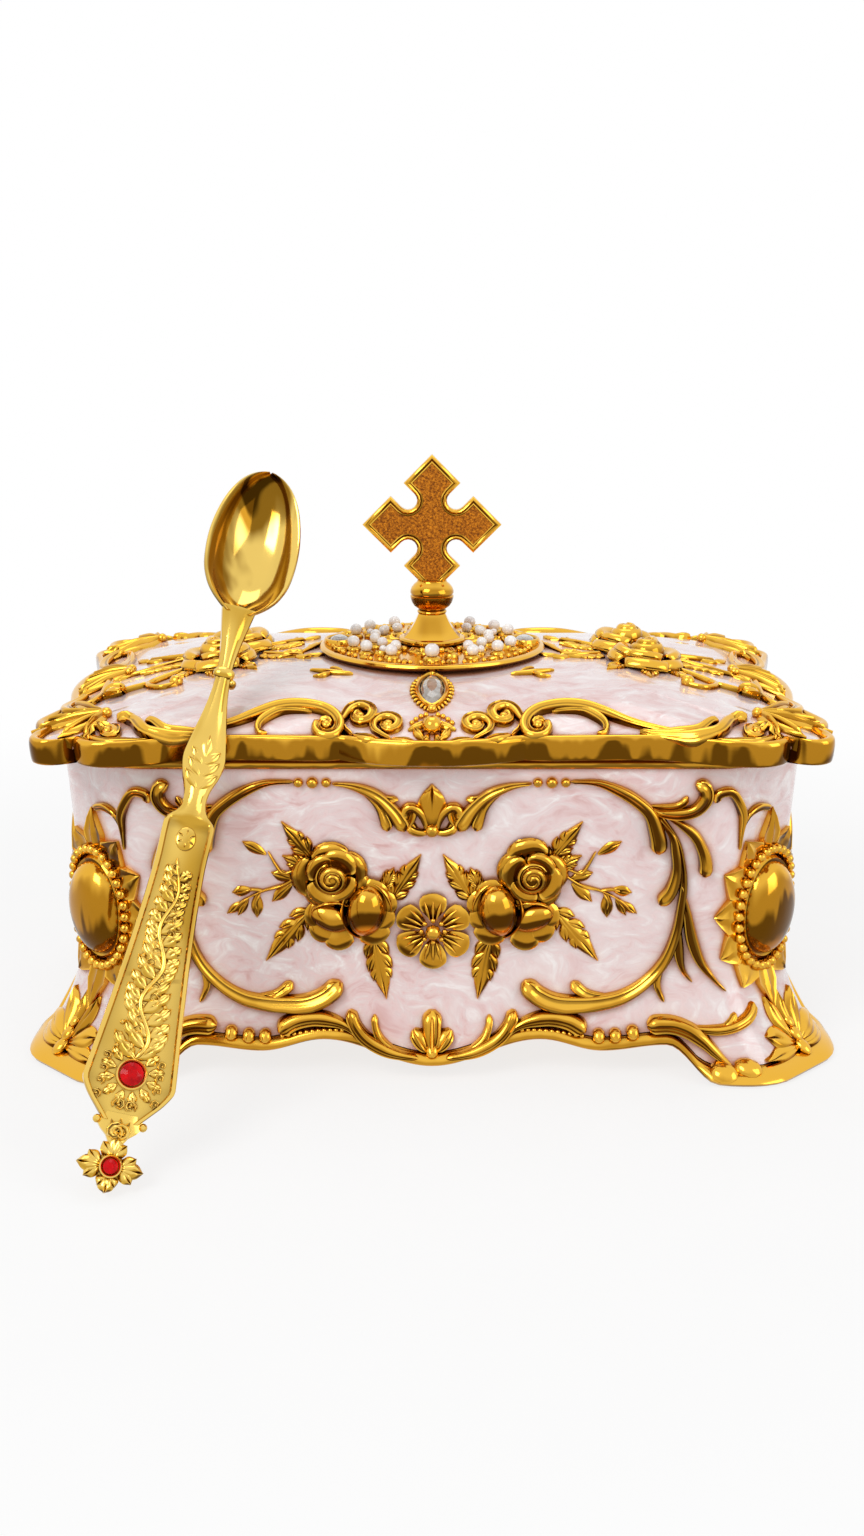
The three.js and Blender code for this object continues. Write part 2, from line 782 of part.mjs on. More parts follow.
// Scalloped outline of a quarter of the lid, from the middle of the long edge to that of the short edge.
function lidQuarter() {
  const arcRadius = (half, depth) => (half * half + depth * depth) / (2 * depth);
  const longRadius = arcRadius(frontLobeHalf, frontLobeDepth);
  const shortRadius = arcRadius(sideLobeHalf, sideLobeDepth);
  const longPeak = lidHalfDepth - 0.5;
  const shortPeak = lidHalfWidth - sideLobeInset;
  const longSwing = Math.asin(frontLobeHalf / longRadius);
  const shortSwing = Math.asin(sideLobeHalf / shortRadius);
  const path = new THREE.Path();
  path.absarc(0, longPeak - longRadius, longRadius, Math.PI / 2, Math.PI / 2 - longSwing, true);
  path.bezierCurveTo(
    frontLobeHalf + 5, lidHalfDepth - 3.5, lidHalfWidth - 46, lidHalfDepth - 6,
    lidHalfWidth - 35, lidHalfDepth - 5.2,
  );
  path.bezierCurveTo(
    lidHalfWidth - 28, lidHalfDepth - 4.4, lidHalfWidth - 23, lidHalfDepth,
    lidHalfWidth - 16, lidHalfDepth,
  );
  path.quadraticCurveTo(lidHalfWidth - 11.5, lidHalfDepth, lidHalfWidth - 9.4, lidHalfDepth - 4.6);
  path.bezierCurveTo(
    lidHalfWidth - 5, lidHalfDepth + 1.5, lidHalfWidth + 2.6, lidHalfDepth - 3,
    lidHalfWidth - 2.6, lidHalfDepth - 12.5,
  );
  path.quadraticCurveTo(lidHalfWidth + 1.2, lidHalfDepth - 16, lidHalfWidth, lidHalfDepth - 20);
  path.bezierCurveTo(
    lidHalfWidth - 1.5, lidHalfDepth - 26, lidHalfWidth - 3.4, lidHalfDepth - 30,
    shortPeak - sideLobeDepth, sideLobeHalf,
  );
  path.absarc(shortPeak - shortRadius, 0, shortRadius, shortSwing, 0, true);
  const pointsOf = (curve) => {
    const steps = Math.max(1, Math.round(curve.getLength() / outlineStep));
    return curve.getPoints(steps);
  };
  const points = path.curves.flatMap(pointsOf);
  return points.filter((point, i) => i === 0 || point.distanceTo(points[i - 1]) > 0.5);
}

function lidOutlinePoints() {
  const quarter = lidQuarter();
  const flipped = (points, x, y) => points.map((point) => new THREE.Vector2(point.x * x, point.y * y));
  const inner = quarter.slice(1, -1);
  return [
    ...flipped(quarter, 1, -1),
    ...flipped(inner.toReversed(), 1, 1),
    ...flipped(quarter, 1, 1).slice(0, 1),
    ...flipped(inner, -1, 1),
    ...flipped(quarter, -1, 1).slice(-1),
    ...flipped(inner.toReversed(), -1, -1),
  ];
}

const lidOutline = lidOutlinePoints();

// Distance from the lid's middle to its outline in the direction of a point.
function outlineRadius(x, y) {
  const length = Math.hypot(x, y) || 1;
  const [directionX, directionY] = [x / length, y / length];
  for (let i = 0; i < lidOutline.length; i += 1) {
    const from = lidOutline[i];
    const to = lidOutline[(i + 1) % lidOutline.length];
    const edgeX = to.x - from.x;
    const edgeY = to.y - from.y;
    const cross = directionX * edgeY - directionY * edgeX;
    if (Math.abs(cross) < 1e-9) continue;
    const radius = (from.x * edgeY - from.y * edgeX) / cross;
    const share = (from.x * directionY - from.y * directionX) / cross;
    if (radius > 0 && share >= -1e-6 && share <= 1 + 1e-6) return radius;
  }
  return lidHalfWidth;
}

function oblongRadius(x, y, halfWidth, halfDepth) {
  const length = Math.hypot(x, y) || 1;
  const acrossShare = Math.abs(x / length) / halfWidth;
  const deepShare = Math.abs(y / length) / halfDepth;
  return (acrossShare ** 4 + deepShare ** 4) ** -0.25;
}

// Rings of the dome follow the scallops at the edge and lose them towards the middle.
function ringRadius(x, y, share) {
  const smooth = oblongRadius(x, y, lidHalfWidth - 2, lidHalfDepth - 3);
  return share * THREE.MathUtils.lerp(smooth, outlineRadius(x, y), share ** 3);
}

function domeShare(x, y) {
  const wanted = Math.hypot(x, y);
  let [low, high] = [0, 1.1];
  for (let i = 0; i < 24; i += 1) {
    const middle = (low + high) / 2;
    if (ringRadius(x, y, middle) < wanted) low = middle;
    else high = middle;
  }
  return low;
}

function domeHeight(x, y) {
  return bandTop - domeStart + lidRise * (1 - domeShare(x, y) ** domePower);
}

const domeTop = bandTop - domeStart + lidRise;
const lidFieldDrop = enamelThickness + restGap;

function ringAt(radiusOf, heightOf) {
  return lidOutline.map((point) => {
    const scale = radiusOf(point) / point.length();
    const x = point.x * scale;
    const y = point.y * scale;
    return new THREE.Vector3(x, y, heightOf(x, y));
  });
}

const insetBy = (inset) => (point) => point.length() - inset;
const shareOf = (share) => (point) => ringRadius(point.x, point.y, share);
const domeLessBy = (drop) => (x, y) => domeHeight(x, y) - drop;
const domeShares = [0.82, 0.6];

function lidCasting() {
  const ledgeHalfWidth = bodyHalfWidth + innerLift - lidLedgeOverlap;
  const ledgeHalfDepth = bodyHalfDepth + innerLift - lidLedgeOverlap;
  const ledge = (point) => oblongRadius(point.x, point.y, ledgeHalfWidth, ledgeHalfDepth);
  const hollowDrop = lidFieldDrop + lidWall;
  const rings = [
    ringAt(ledge, () => bandBottom),
    ringAt(insetBy(1.1), () => bandBottom),
    ringAt(insetBy(0), () => bandBottom + 0.9),
    ringAt(insetBy(0.15), () => bandTop - 0.9),
    ringAt(insetBy(bandEdge - 0.8), () => bandTop),
    ringAt(insetBy(bandEdge), domeLessBy(lidFieldDrop)),
    ...domeShares.map((share) => ringAt(shareOf(share), domeLessBy(lidFieldDrop))),
    ringAt(() => studHoleRadius, () => domeTop - lidFieldDrop),
    ringAt(() => studHoleRadius, () => domeTop - hollowDrop),
    ringAt(shareOf(domeShares[1]), domeLessBy(hollowDrop)),
    ringAt(ledge, domeLessBy(hollowDrop)),
  ];
  return loft(rings, true);
}

function lidEnamel() {
  const rings = (drop) => [
    ringAt(insetBy(bandEdge + restGap), domeLessBy(drop)),
    ...domeShares.map((share) => ringAt(shareOf(share), domeLessBy(drop))),
    ringAt(() => enamelHoleRadius, domeLessBy(drop)),
  ];
  return loft([...rings(0), ...rings(enamelThickness).toReversed()], true);
}

function onLid(pieces) {
  const flat = joined(pieces);
  const wide = lidHalfWidth / drawnLid.halfWidth;
  const deep = lidHalfDepth / drawnLid.halfDepth;
  return laidOn(geometryOf(flat), (x, y, z) => {
    const [placeX, placeY] = [x * wide, y * deep];
    return new THREE.Vector3(placeX, placeY, domeHeight(placeX, placeY) + z + lidOrnamentGap);
  });
}

// The relief along the lid's edge, one half of the lid: on each long edge a C scroll with a leaf tail,
// then a shell over each corner, a scroll along the short edge and a shell in its middle.
function lidBorder(side) {
  const pieces = [];
  const put = (points, way, halfWidth) => {
    pieces.push(stroke(points.map(([x, y]) => [side * x, way * y]), halfWidth, reliefHeight));
  };
  const fan = (x, y, headings, length) => {
    for (const heading of headings) {
      pieces.push(leaf(side * x, y, side > 0 ? heading : 180 - heading, length, 1.7, 1.7));
    }
  };
  for (const way of [1, -1]) {
    put([[22.5, 41], [20.4, 38.4], [23, 35.2], [29, 35], [35, 39], [42, 44], [51, 46.6], [60, 46.6]], way, 1.1);
    put([[48, 45.6], [54, 42], [60, 38]], way, 0.9);
    put([[56, 46.6], [63, 45.8], [67, 42], [68.4, 39]], way, 0.9);
    put([[70.6, 5.4], [67.6, 11], [68.4, 16], [72, 20], [74.2, 27], [72, 34], [68.4, 38.6], [67, 41.4]], way, 1);
    fan(66.4, way * 39.2, [12, 38, 64].map((heading) => way * heading), 7.2);
  }
  fan(64.6, 0, [-48, -24, 0, 24, 48], 9);
  return pieces;
}

function lidRoses(side) {
  const pieces = [...rose(side * 46, 2, 7), ...rose(side * 42, -5.6, 4.4), ...rose(side * 51, 8.4, 4)];
  const leaves = [
    [40, -4, 190, 9, 1.6],
    [41, 5, 155, 9, 1.6],
    [49, -2.6, -35, 10, 1.6],
    [43, -8, -80, 8, 1.4],
    [51, 2, 5, 9, 1.4],
    [48, 9, 105, 8, 1.4],
  ];
  for (const [x, y, heading, length, halfWidth] of leaves) {
    pieces.push(leaf(side * x, y, side > 0 ? heading : 180 - heading, length, halfWidth, 1.1));
  }
  return pieces;
}

// Hinges

const hingeAxisY = bodyHalfDepth + hingeBehind;
const hingeAxisZ = bandBottom - hingeDrop;

// A knuckle about the hinge axis; its shape is drawn in Y and Z and runs along X.
function knuckle(length) {
  const tube = new THREE.CylinderGeometry(knuckleRadius, knuckleRadius, length, 10).rotateZ(Math.PI / 2);
  return solidOf(tube.translate(0, hingeAxisY, hingeAxisZ));
}

function pinHole(length) {
  const radius = hingePinRadius + pinGap;
  const hole = new THREE.CylinderGeometry(radius, radius, length, 8).rotateZ(Math.PI / 2);
  return solidOf(hole.translate(0, hingeAxisY, hingeAxisZ));
}

const knuckleShare = hingeLength / 3;

function bodyHinge(centreX) {
  const leafTop = bodyHeight - lipHeight - 0.6;
  const leafBottom = leafTop - leafReach - 2;
  const backAt = (height) => bodyHalfDepth + wallReach(height) + ornamentLift;
  const section = [
    [backAt(leafBottom), leafBottom],
    [backAt(leafTop), leafTop],
    [bodyHalfDepth + restGap, leafTop],
    [bodyHalfDepth + restGap, leafTop + 1.6],
    [hingeAxisY, hingeAxisZ + 0.5],
    [hingeAxisY, hingeAxisZ - knuckleRadius],
    [backAt(leafTop) + leafThickness, leafTop - 1.4],
    [backAt(leafBottom) + leafThickness, leafBottom],
  ];
  const slice = (x) => section.map(([y, z]) => new THREE.Vector3(x, y, z));
  const leafPlate = solidOf(loftOutline(slice(-hingeLength / 2), slice(hingeLength / 2)));
  const middle = new THREE.BoxGeometry(knuckleShare + 2 * restGap, 2.6 * knuckleRadius, 2.6 * knuckleRadius);
  const room = solidOf(middle.translate(0, hingeAxisY, hingeAxisZ));
  const hinge = leafPlate.add(knuckle(hingeLength)).subtract(room).subtract(pinHole(hingeLength + 2));
  return geometryOf(hinge).translate(centreX, 0, 0);
}

function lidHinge(centreX) {
  const plateTop = bandBottom - restGap;
  const reach = leafReach;
  const plate = new THREE.BoxGeometry(knuckleShare, reach, leafThickness);
  plate.translate(0, hingeAxisY + reach / 2, plateTop - leafThickness / 2);
  const foot = new THREE.BoxGeometry(hingeLength, reach - knuckleRadius - 2 * restGap, leafThickness);
  foot.translate(0, hingeAxisY + (reach + knuckleRadius) / 2 + restGap, plateTop - leafThickness / 2);
  const joint = solidOf(plate).add(solidOf(foot)).add(knuckle(knuckleShare - 2 * restGap));
  return geometryOf(joint.subtract(pinHole(hingeLength))).translate(centreX, 0, 0);
}

function hingePin(centreX) {
  const pin = new THREE.CylinderGeometry(hingePinRadius, hingePinRadius, hingeLength, 8).rotateZ(Math.PI / 2);
  return pin.translate(centreX, hingeAxisY, hingeAxisZ);
}

// Closes a solid between two equal outlines that need not be convex.
function loftOutline(first, second) {
  const count = first.length;
  const flat = first.map((point) => new THREE.Vector2(point.y, point.z));
  const faces = THREE.ShapeUtils.triangulateShape(flat, []);
  const positions = [...first, ...second].flatMap((point) => [point.x, point.y, point.z]);
  const indices = faces.flatMap(([a, b, c]) => [a, b, c, count + c, count + b, count + a]);
  const turn = THREE.ShapeUtils.isClockWise(flat) ? 1 : -1;
  for (let i = 0; i < count; i += 1) {
    const next = (i + 1) % count;
    const [a, b] = turn > 0 ? [i, next] : [next, i];
    indices.push(a, b, count + b, a, count + b, count + a);
  }
  return facedOutward(surfaceOf(positions, indices));
}

// Pearl plate and finial

const plateBottom = domeTop + restGap;
const plateTop = plateBottom + plateThickness;

function pearlPlate() {
  const hubBottom = domeTop - lidFieldDrop + restGap;
  const profile = [
    [studHoleRadius, hubBottom],
    [plateHubRadius, hubBottom],
    [plateHubRadius + 1, plateBottom],
    [plateRadius - 0.8, plateBottom],
    [plateRadius, plateBottom + 0.4],
    [plateRadius, plateTop],
    [plateRadius - 0.8, plateTop + 0.5],
    [plateRadius - 1.6, plateTop],
    [studHoleRadius, plateTop],
    [studHoleRadius, hubBottom],
  ];
  return geometryOf(joined([turnedAboutZ(profile, 24), ...pearls()]));
}

const pearlClusters = 8;
const pearlRingRadius = 19.2;
const innerPearlRingRadius = 14.4;

// Pearls sit in clusters of three, a large one towards the rim and two small ones behind it.
function pearls() {
  const pieces = [];
  const put = (radius, angle, size) => {
    const x = radius * Math.cos(angle);
    const y = radius * Math.sin(angle);
    pieces.push(new THREE.OctahedronGeometry(size, 0).translate(x, y, plateTop + size * 0.6));
  };
  for (let i = 0; i < pearlClusters; i += 1) {
    const angle = ((i + 0.5) * 2 * Math.PI) / pearlClusters;
    put(pearlRingRadius, angle, largePearlRadius);
    put(innerPearlRingRadius, angle + 0.2, smallPearlRadius);
    put(innerPearlRingRadius, angle - 0.2, smallPearlRadius);
  }
  return pieces;
}

function finialStem() {
  const base = plateTop + restGap;
  const studBottom = domeTop - lidFieldDrop - lidWall - restGap - nutHeight - 0.8;
  const top = base + finialHeight;
  const profile = [
    [0, studBottom],
    [studRadius, studBottom],
    [studRadius, base],
    [finialBaseRadius - 0.4, base],
    [finialBaseRadius, base + 0.5],
    [finialBaseRadius - 0.3, base + 1.1],
    [finialNeckRadius + 1.6, base + 3.2],
    [finialNeckRadius, base + 5.2],
    [finialNeckRadius + 0.4, base + 6],
    [finialNeckRadius, base + 6.6],
    [knopRadius - 0.7, base + 8],
    [knopRadius, base + 9.8],
    [knopRadius - 0.5, base + 11.4],
    [knopRadius - 2.2, top - 0.8],
    [knopRadius - 3, top],
    [0, top],
  ];
  const slot = new THREE.BoxGeometry(2 * knopRadius, crossThickness + 2 * restGap, crossSink);
  const stem = solidOf(turnedAboutZ(profile, 12));
  return geometryOf(stem.subtract(solidOf(slot.translate(0, 0, top - crossSink / 2 + 0.01))));
}

function finialNut() {
  const top = domeTop - lidFieldDrop - lidWall - restGap;
  const profile = [
    [studRadius + restGap, top - nutHeight],
    [nutRadius, top - nutHeight],
    [nutRadius, top],
    [studRadius + restGap, top],
    [studRadius + restGap, top - nutHeight],
  ];
  return turnedAboutZ(profile, 6);
}

// Outline of the cross: a square on its corner, with a round-ended notch cut into each side.
function crossShape(inset) {
  const tip = crossReach - inset * Math.SQRT2;
  const half = notchRadius + inset;
  const corner = tip / 2;
  const shape = new THREE.Shape();
  for (let arm = 0; arm < 4; arm += 1) {
    const turn = (arm * Math.PI) / 2;
    const at = (along, across) => {
      const x = along * Math.cos(turn) - across * Math.sin(turn);
      const y = along * Math.sin(turn) + across * Math.cos(turn);
      return [x, y];
    };
    const shoulder = half * Math.SQRT1_2;
    const notch = notchDepth * Math.SQRT1_2;
    if (arm === 0) shape.moveTo(...at(corner + shoulder, shoulder - corner));
    else shape.lineTo(...at(corner + shoulder, shoulder - corner));
    shape.lineTo(...at(tip, 0));
    shape.lineTo(...at(corner + shoulder, corner - shoulder));
    const [centreX, centreY] = at(notch, notch);
    const start = turn - Math.PI / 4;
    shape.absarc(centreX, centreY, half, start, start - Math.PI, true);
  }
  return shape;
}

const crossCentre = plateTop + restGap + finialHeight - crossSink + crossReach;
const crossTrim = crossReach - 1.2;

function crossUp(geometry) {
  return geometry.rotateX(Math.PI / 2).translate(0, 0, crossCentre);
}

// The lowest point of the cross is cut square, to stand in the slot of the knop.
function cutAtFoot(solid) {
  const size = 4 * crossReach;
  const block = new THREE.BoxGeometry(size, size, size).translate(0, 0, crossCentre - crossTrim - size / 2);
  return solid.subtract(solidOf(block));
}

function crossPlate() {
  const plate = extruded(crossShape(0), crossThickness, notchSides).translate(0, 0, -crossThickness / 2);
  const pocket = extruded(crossShape(crossBorder), crossRecess, notchSides);
  const front = pocket.clone().translate(0, 0, crossThickness / 2 - crossRecess);
  const back = pocket.translate(0, 0, -crossThickness / 2);
  const solid = solidOf(crossUp(plate)).subtract(solidOf(crossUp(front))).subtract(solidOf(crossUp(back)));
  return geometryOf(cutAtFoot(solid));
}

// The grained inlay of one face, lying in the pocket.
function crossField(face) {
  const inlay = extruded(crossShape(crossBorder + restGap), crossInlay, notchSides);
  const depth = crossThickness / 2 - crossRecess + restGap;
  inlay.translate(0, 0, depth);
  if (face < 0) inlay.rotateY(Math.PI);
  const trimmed = crossCentre - crossTrim + restGap;
  const size = 4 * crossReach;
  const block = new THREE.BoxGeometry(size, size, size).translate(0, 0, trimmed + 1 - size / 2);
  return geometryOf(solidOf(crossUp(inlay)).subtract(solidOf(block)));
}

// Marquise stones

function marquiseOutline(length, width) {
  const shape = new THREE.Shape();
  shape.moveTo(0, -length / 2);
  shape.quadraticCurveTo(width * 0.92, 0, 0, length / 2);
  shape.quadraticCurveTo(-width * 0.92, 0, 0, -length / 2);
  return shape;
}

function bezel({ length, width }) {
  const outer = solidOf(extruded(marquiseOutline(length, width), bezelHeight, 4));
  const seat = extruded(marquiseOutline(length - 2.6 * bezelWall, width - 2 * bezelWall), bezelHeight, 4);
  return geometryOf(outer.subtract(solidOf(seat.translate(0, 0, 0.5))));
}

function stone({ length, width }) {
  const scaleTo = (inset) => marquiseOutline(
    length - 2.6 * bezelWall - 3 * inset, width - 2 * bezelWall - 2 * inset,
  ).getPoints(4).slice(0, -1);
  const ring = (inset, height) => scaleTo(inset).map((point) => new THREE.Vector3(point.x, point.y, height));
  const bottom = 0.5 + restGap;
  return loft([ring(restGap, bottom), ring(restGap, bezelHeight), ring(restGap + 0.9, bezelHeight + crystalRise)], false);
}

function onSlope(geometry) {
  return laidOn(geometry, (x, y, z) => {
    const place = y - slopeStoneDepth;
    return new THREE.Vector3(x, place, domeHeight(x, place) + z + restGap);
  });
}

function onPlate(geometry, side) {
  return geometry.clone().translate(side * (plateRadius - 4.4), 0, plateTop + restGap);
}

// Spoon, drawn with Y along it from the foot, X across it and +Z out of its face

function handleOutline(inset) {
  const wide = handleHalfWidth - inset;
  const shoulder = shoulderHalfWidth - inset;
  const foot = 2.2 - inset / 2;
  const shape = new THREE.Shape();
  shape.moveTo(-foot, handleFoot + inset);
  shape.quadraticCurveTo(-foot - 1, handleWide - 4, -wide, handleWide);
  shape.lineTo(-shoulder, shoulderHeight - 3);
  shape.quadraticCurveTo(-shoulder - 0.6, shoulderHeight - 0.6 - inset, -2.4, shoulderHeight + 1.2 - inset);
  shape.lineTo(2.4, shoulderHeight + 1.2 - inset);
  shape.quadraticCurveTo(shoulder + 0.6, shoulderHeight - 0.6 - inset, shoulder, shoulderHeight - 3);
  shape.lineTo(wide, handleWide);
  shape.quadraticCurveTo(foot + 1, handleWide - 4, foot, handleFoot + inset);
  return shape;
}

function handleBlade() {
  const recess = 0.4;
  const blade = extruded(handleOutline(0), handleThickness, 5).translate(0, 0, -handleThickness / 2);
  const field = extruded(handleOutline(1.1), recess, 5).translate(0, 0, handleThickness / 2 - recess);
  const pieces = [solidOf(blade).subtract(solidOf(field))];
  const vine = [[0, 58], [2.4, 50], [-2.4, 42], [3, 34], [-3, 26]];
  const spine = stroke(vine, 0.7, 0.7).translate(0, 0, handleThickness / 2 - recess);
  pieces.push(solidOf(spine));
  return pieces.reduce((whole, piece) => whole.add(piece));
}

// Round stem from the shoulder to the bowl, with the leaf swelling and the knop.
function stemSolid() {
  const start = shoulderHeight - 1;
  const stations = [
    [start, 2.5, 1.1],
    [start + 5.5, 2, 1.5],
    [start + 8, 2.4, 1.7],
    [start + 12.5, 3.5, 2],
    [start + 17, 2.3, 1.7],
    [start + 24, 2, 1.5],
    [knopHeight - 1.4, 2.1, 1.6],
    [knopHeight, 3, 2.4],
    [knopHeight + 1.4, 2.2, 1.7],
    [knopHeight + 7, 2.4, 1.5],
    [knopHeight + 11.5, 3.8, 1.2],
    [spoonLength - bowlLength + 3, 5.2, 0.7],
  ];
  const around = 8;
  const rings = stations.map(([y, halfWidth, halfDepth]) =>
    Array.from({ length: around }, (_, i) => {
      const angle = (2 * Math.PI * i) / around;
      return new THREE.Vector3(halfWidth * Math.cos(angle), y, halfDepth * Math.sin(angle));
    }),
  );
  return solidOf(loft(rings, false));
}

// The bowl is an egg-shaped half shell, open towards the spoon's face.
function bowlSolids() {
  const centre = spoonLength - bowlLength / 2;
  const egg = (shrink) => {
    const ball = new THREE.SphereGeometry(1, 14, 8);
    ball.scale(bowlWidth / 2 - shrink, bowlLength / 2 - shrink, bowlDepth - shrink);
    const taper = 0.1;
    return solidOf(laidOn(mergedBare(ball), (x, y, z) => {
      const narrow = 1 - (taper * y) / (bowlLength / 2);
      return new THREE.Vector3(x * narrow, y + centre, z);
    }));
  };
  const size = 4 * bowlLength;
  const above = solidOf(new THREE.BoxGeometry(size, size, size).translate(0, centre, size / 2 + 0.6));
  return { outer: egg(0).subtract(above), inner: egg(bowlWall) };
}

function mergedBare(geometry) {
  geometry.deleteAttribute("normal");
  geometry.deleteAttribute("uv");
  return mergeVertices(geometry, 1e-5);
}

function rubySeat(radius, height) {
  const base = handleThickness / 2 - 0.5;
  const collar = cylinderUp(radius + 0.9, base, 1.4, 12).translate(0, height, 0);
  const hole = cylinderUp(radius + restGap, base + 0.6, 2, 12).translate(0, height, 0);
  return { collar: solidOf(collar), hole: solidOf(hole) };
}

// The small cross at the foot: four three-lobed arms about the little ruby.
function terminalCross() {
  const pieces = [lobedDome(3.6, 4, 0.1, -handleThickness / 2, handleThickness, 0)];
  for (let arm = 0; arm < 4; arm += 1) {
    const angle = (arm * Math.PI) / 2;
    const reach = 3.7;
    const lobe = lobedDome(2, 3, 0.2, -handleThickness / 2, handleThickness, angle - Math.PI / 3);
    pieces.push(lobe.translate(reach * Math.cos(angle), reach * Math.sin(angle), 0));
  }
  const link = new THREE.BoxGeometry(2.6, 4, handleThickness).translate(0, 5.4, 0);
  return joined([...pieces, link]).translate([0, terminalHeight, 0]);
}

function spoonCasting() {
  const { outer, inner } = bowlSolids();
  const large = rubySeat(largeRubyRadius, largeRubyHeight);
  const small = rubySeat(smallRubyRadius, terminalHeight);
  const body = handleBlade().add(stemSolid()).add(outer).subtract(inner);
  const whole = body.add(terminalCross()).add(large.collar).add(small.collar);
  return geometryOf(whole.subtract(large.hole).subtract(small.hole));
}

function roundRuby(radius, height) {
  const bottom = handleThickness / 2 + 0.1 + restGap;
  const profile = [
    [0, bottom],
    [radius, bottom],
    [radius, bottom + 0.6],
    [radius * 0.55, bottom + 1.3],
    [0, bottom + 1.3],
  ];
  return turnedAboutZ(profile, 12).translate(0, height, 0);
}

function lidFrontDepth(x) {
  let y = -lidHalfDepth;
  for (let i = 0; i < 8; i += 1) y *= outlineRadius(x, y) / Math.hypot(x, y);
  return y;
}

// The spoon stands on its foot and leans back until its stem lies on the lid's front edge.
function placeSpoon(group) {
  const toEdgeY = lidFrontDepth(spoonTouchX) + spoonFootReach;
  const toEdgeZ = bandTop - spoonFootLift - restGap;
  const distance = Math.hypot(toEdgeY, toEdgeZ);
  const lean = Math.atan2(toEdgeZ, toEdgeY) + Math.asin((spoonRestDepth + restGap) / distance);
  const along = new THREE.Vector3(spoonSideLean, Math.cos(lean) * spoonLength, Math.sin(lean) * spoonLength);
  along.normalize();
  const face = new THREE.Vector3(0, -along.z, along.y).normalize();
  face.applyAxisAngle(along, THREE.MathUtils.degToRad(spoonTurn));
  const across = new THREE.Vector3().crossVectors(along, face).normalize();
  group.quaternion.setFromRotationMatrix(new THREE.Matrix4().makeBasis(across, along, face));
  group.position.set(spoonFootX, -spoonFootReach, spoonFootLift + restGap);
}

// Assembly

const box = new THREE.Group();
box.add(mesh("body_casting", bodyCasting(), deepGold));
box.add(mesh("body_enamel", bodyEnamel(), pinkEnamel));
box.add(mesh("floor_plate", floorPlate(), deepGold));
bossCentres().forEach(([x, y], i) => box.add(mesh(`floor_screw_${i + 1}`, floorScrew(x, y), steel)));

const backRun = 2 * quarterRun;
for (const [wall, run, link] of [["front", 0, frontSwag()], ["back", backRun, backFestoon()]]) {
  const frame = stretched([...longWallFrame(), ...link], longStretch, upStretch);
  box.add(mesh(`${wall}_frame`, onWall(frame, run), deepGold));
}
box.add(mesh("front_roses", onWall(stretched(longWallRoses(), longStretch, upStretch), 0), deepGold));
box.add(mesh("front_garland", onWall(apronGarland(frontApron), 0), deepGold));
for (const [wall, run] of [["right", quarterRun], ["left", -quarterRun]]) {
  box.add(mesh(`${wall}_frame`, onWall(stretched(endWallFrame(), endStretch, upStretch), run), deepGold));
  box.add(mesh(`${wall}_roses`, onWall(stretched(endWallRoses(), endStretch, upStretch), run), deepGold));
}
const corners = {
  front_right: cornerRun,
  front_left: -cornerRun,
  back_right: backRun - cornerRun,
  back_left: cornerRun - backRun,
};
for (const [corner, run] of Object.entries(corners)) {
  box.add(mesh(`medallion_${corner}`, onWall(raisedBy(medallion(), medallionHeight), run), deepGold));
  box.add(mesh(`cabochon_${corner}`, onWall(raisedBy(cabochon(), medallionHeight), run), deepGold));
  box.add(mesh(`foot_leaf_${corner}`, onWall(footLeaf(), run, footLeafLift), deepGold));
}

const lid = new THREE.Group();
lid.add(mesh("lid_casting", lidCasting(), deepGold));
lid.add(mesh("lid_enamel", lidEnamel(), pinkEnamel));
lid.add(mesh("lid_right_border", onLid(lidBorder(1)), deepGold));
lid.add(mesh("lid_left_border", onLid(lidBorder(-1)), deepGold));
lid.add(mesh("lid_right_roses", onLid(lidRoses(1)), deepGold));
lid.add(mesh("lid_left_roses", onLid(lidRoses(-1)), deepGold));
lid.add(mesh("pearl_plate", pearlPlate(), deepGold));
lid.add(mesh("bezel_front", onSlope(bezel(slopeStone)), deepGold));
lid.add(mesh("crystal_front", onSlope(stone(slopeStone)), crystal));
lid.add(mesh("bezel_right", onPlate(bezel(plateStone), 1), deepGold));
lid.add(mesh("crystal_right", onPlate(stone(plateStone), 1), crystal));
lid.add(mesh("bezel_left", onPlate(bezel(plateStone), -1), deepGold));
lid.add(mesh("crystal_left", onPlate(stone(plateStone), -1), crystal));
lid.add(mesh("finial_stem", finialStem(), deepGold));
lid.add(mesh("finial_nut", finialNut(), steel));
lid.add(mesh("cross_plate", crossPlate(), deepGold));
lid.add(mesh("cross_inlay_front", crossField(1), grainyBronze));
lid.add(mesh("cross_inlay_back", crossField(-1), grainyBronze));

for (const [side, x] of [["right", hingeAcross], ["left", -hingeAcross]]) {
  box.add(mesh(`hinge_leaf_body_${side}`, bodyHinge(x), deepGold));
  box.add(mesh(`hinge_pin_${side}`, hingePin(x), steel));
  lid.add(mesh(`hinge_leaf_lid_${side}`, lidHinge(x), deepGold));
}

const spoon = new THREE.Group();
spoon.add(mesh("spoon_casting", spoonCasting(), spoonGold));
spoon.add(mesh("spoon_ruby_large", roundRuby(largeRubyRadius, largeRubyHeight), ruby));
spoon.add(mesh("spoon_ruby_small", roundRuby(smallRubyRadius, terminalHeight), ruby));
placeSpoon(spoon);

const casket = new THREE.Group();
casket.add(box, lid, spoon);
casket.position.z = -floorUnderside;

export default casket;
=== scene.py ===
# Looks of the incense box: gilt castings, pink enamel, pearls, stones and the loose spoon.
# Shapes are drawn in millimetres, with heights counted from the ground, and turned into metres last.
import json
import math

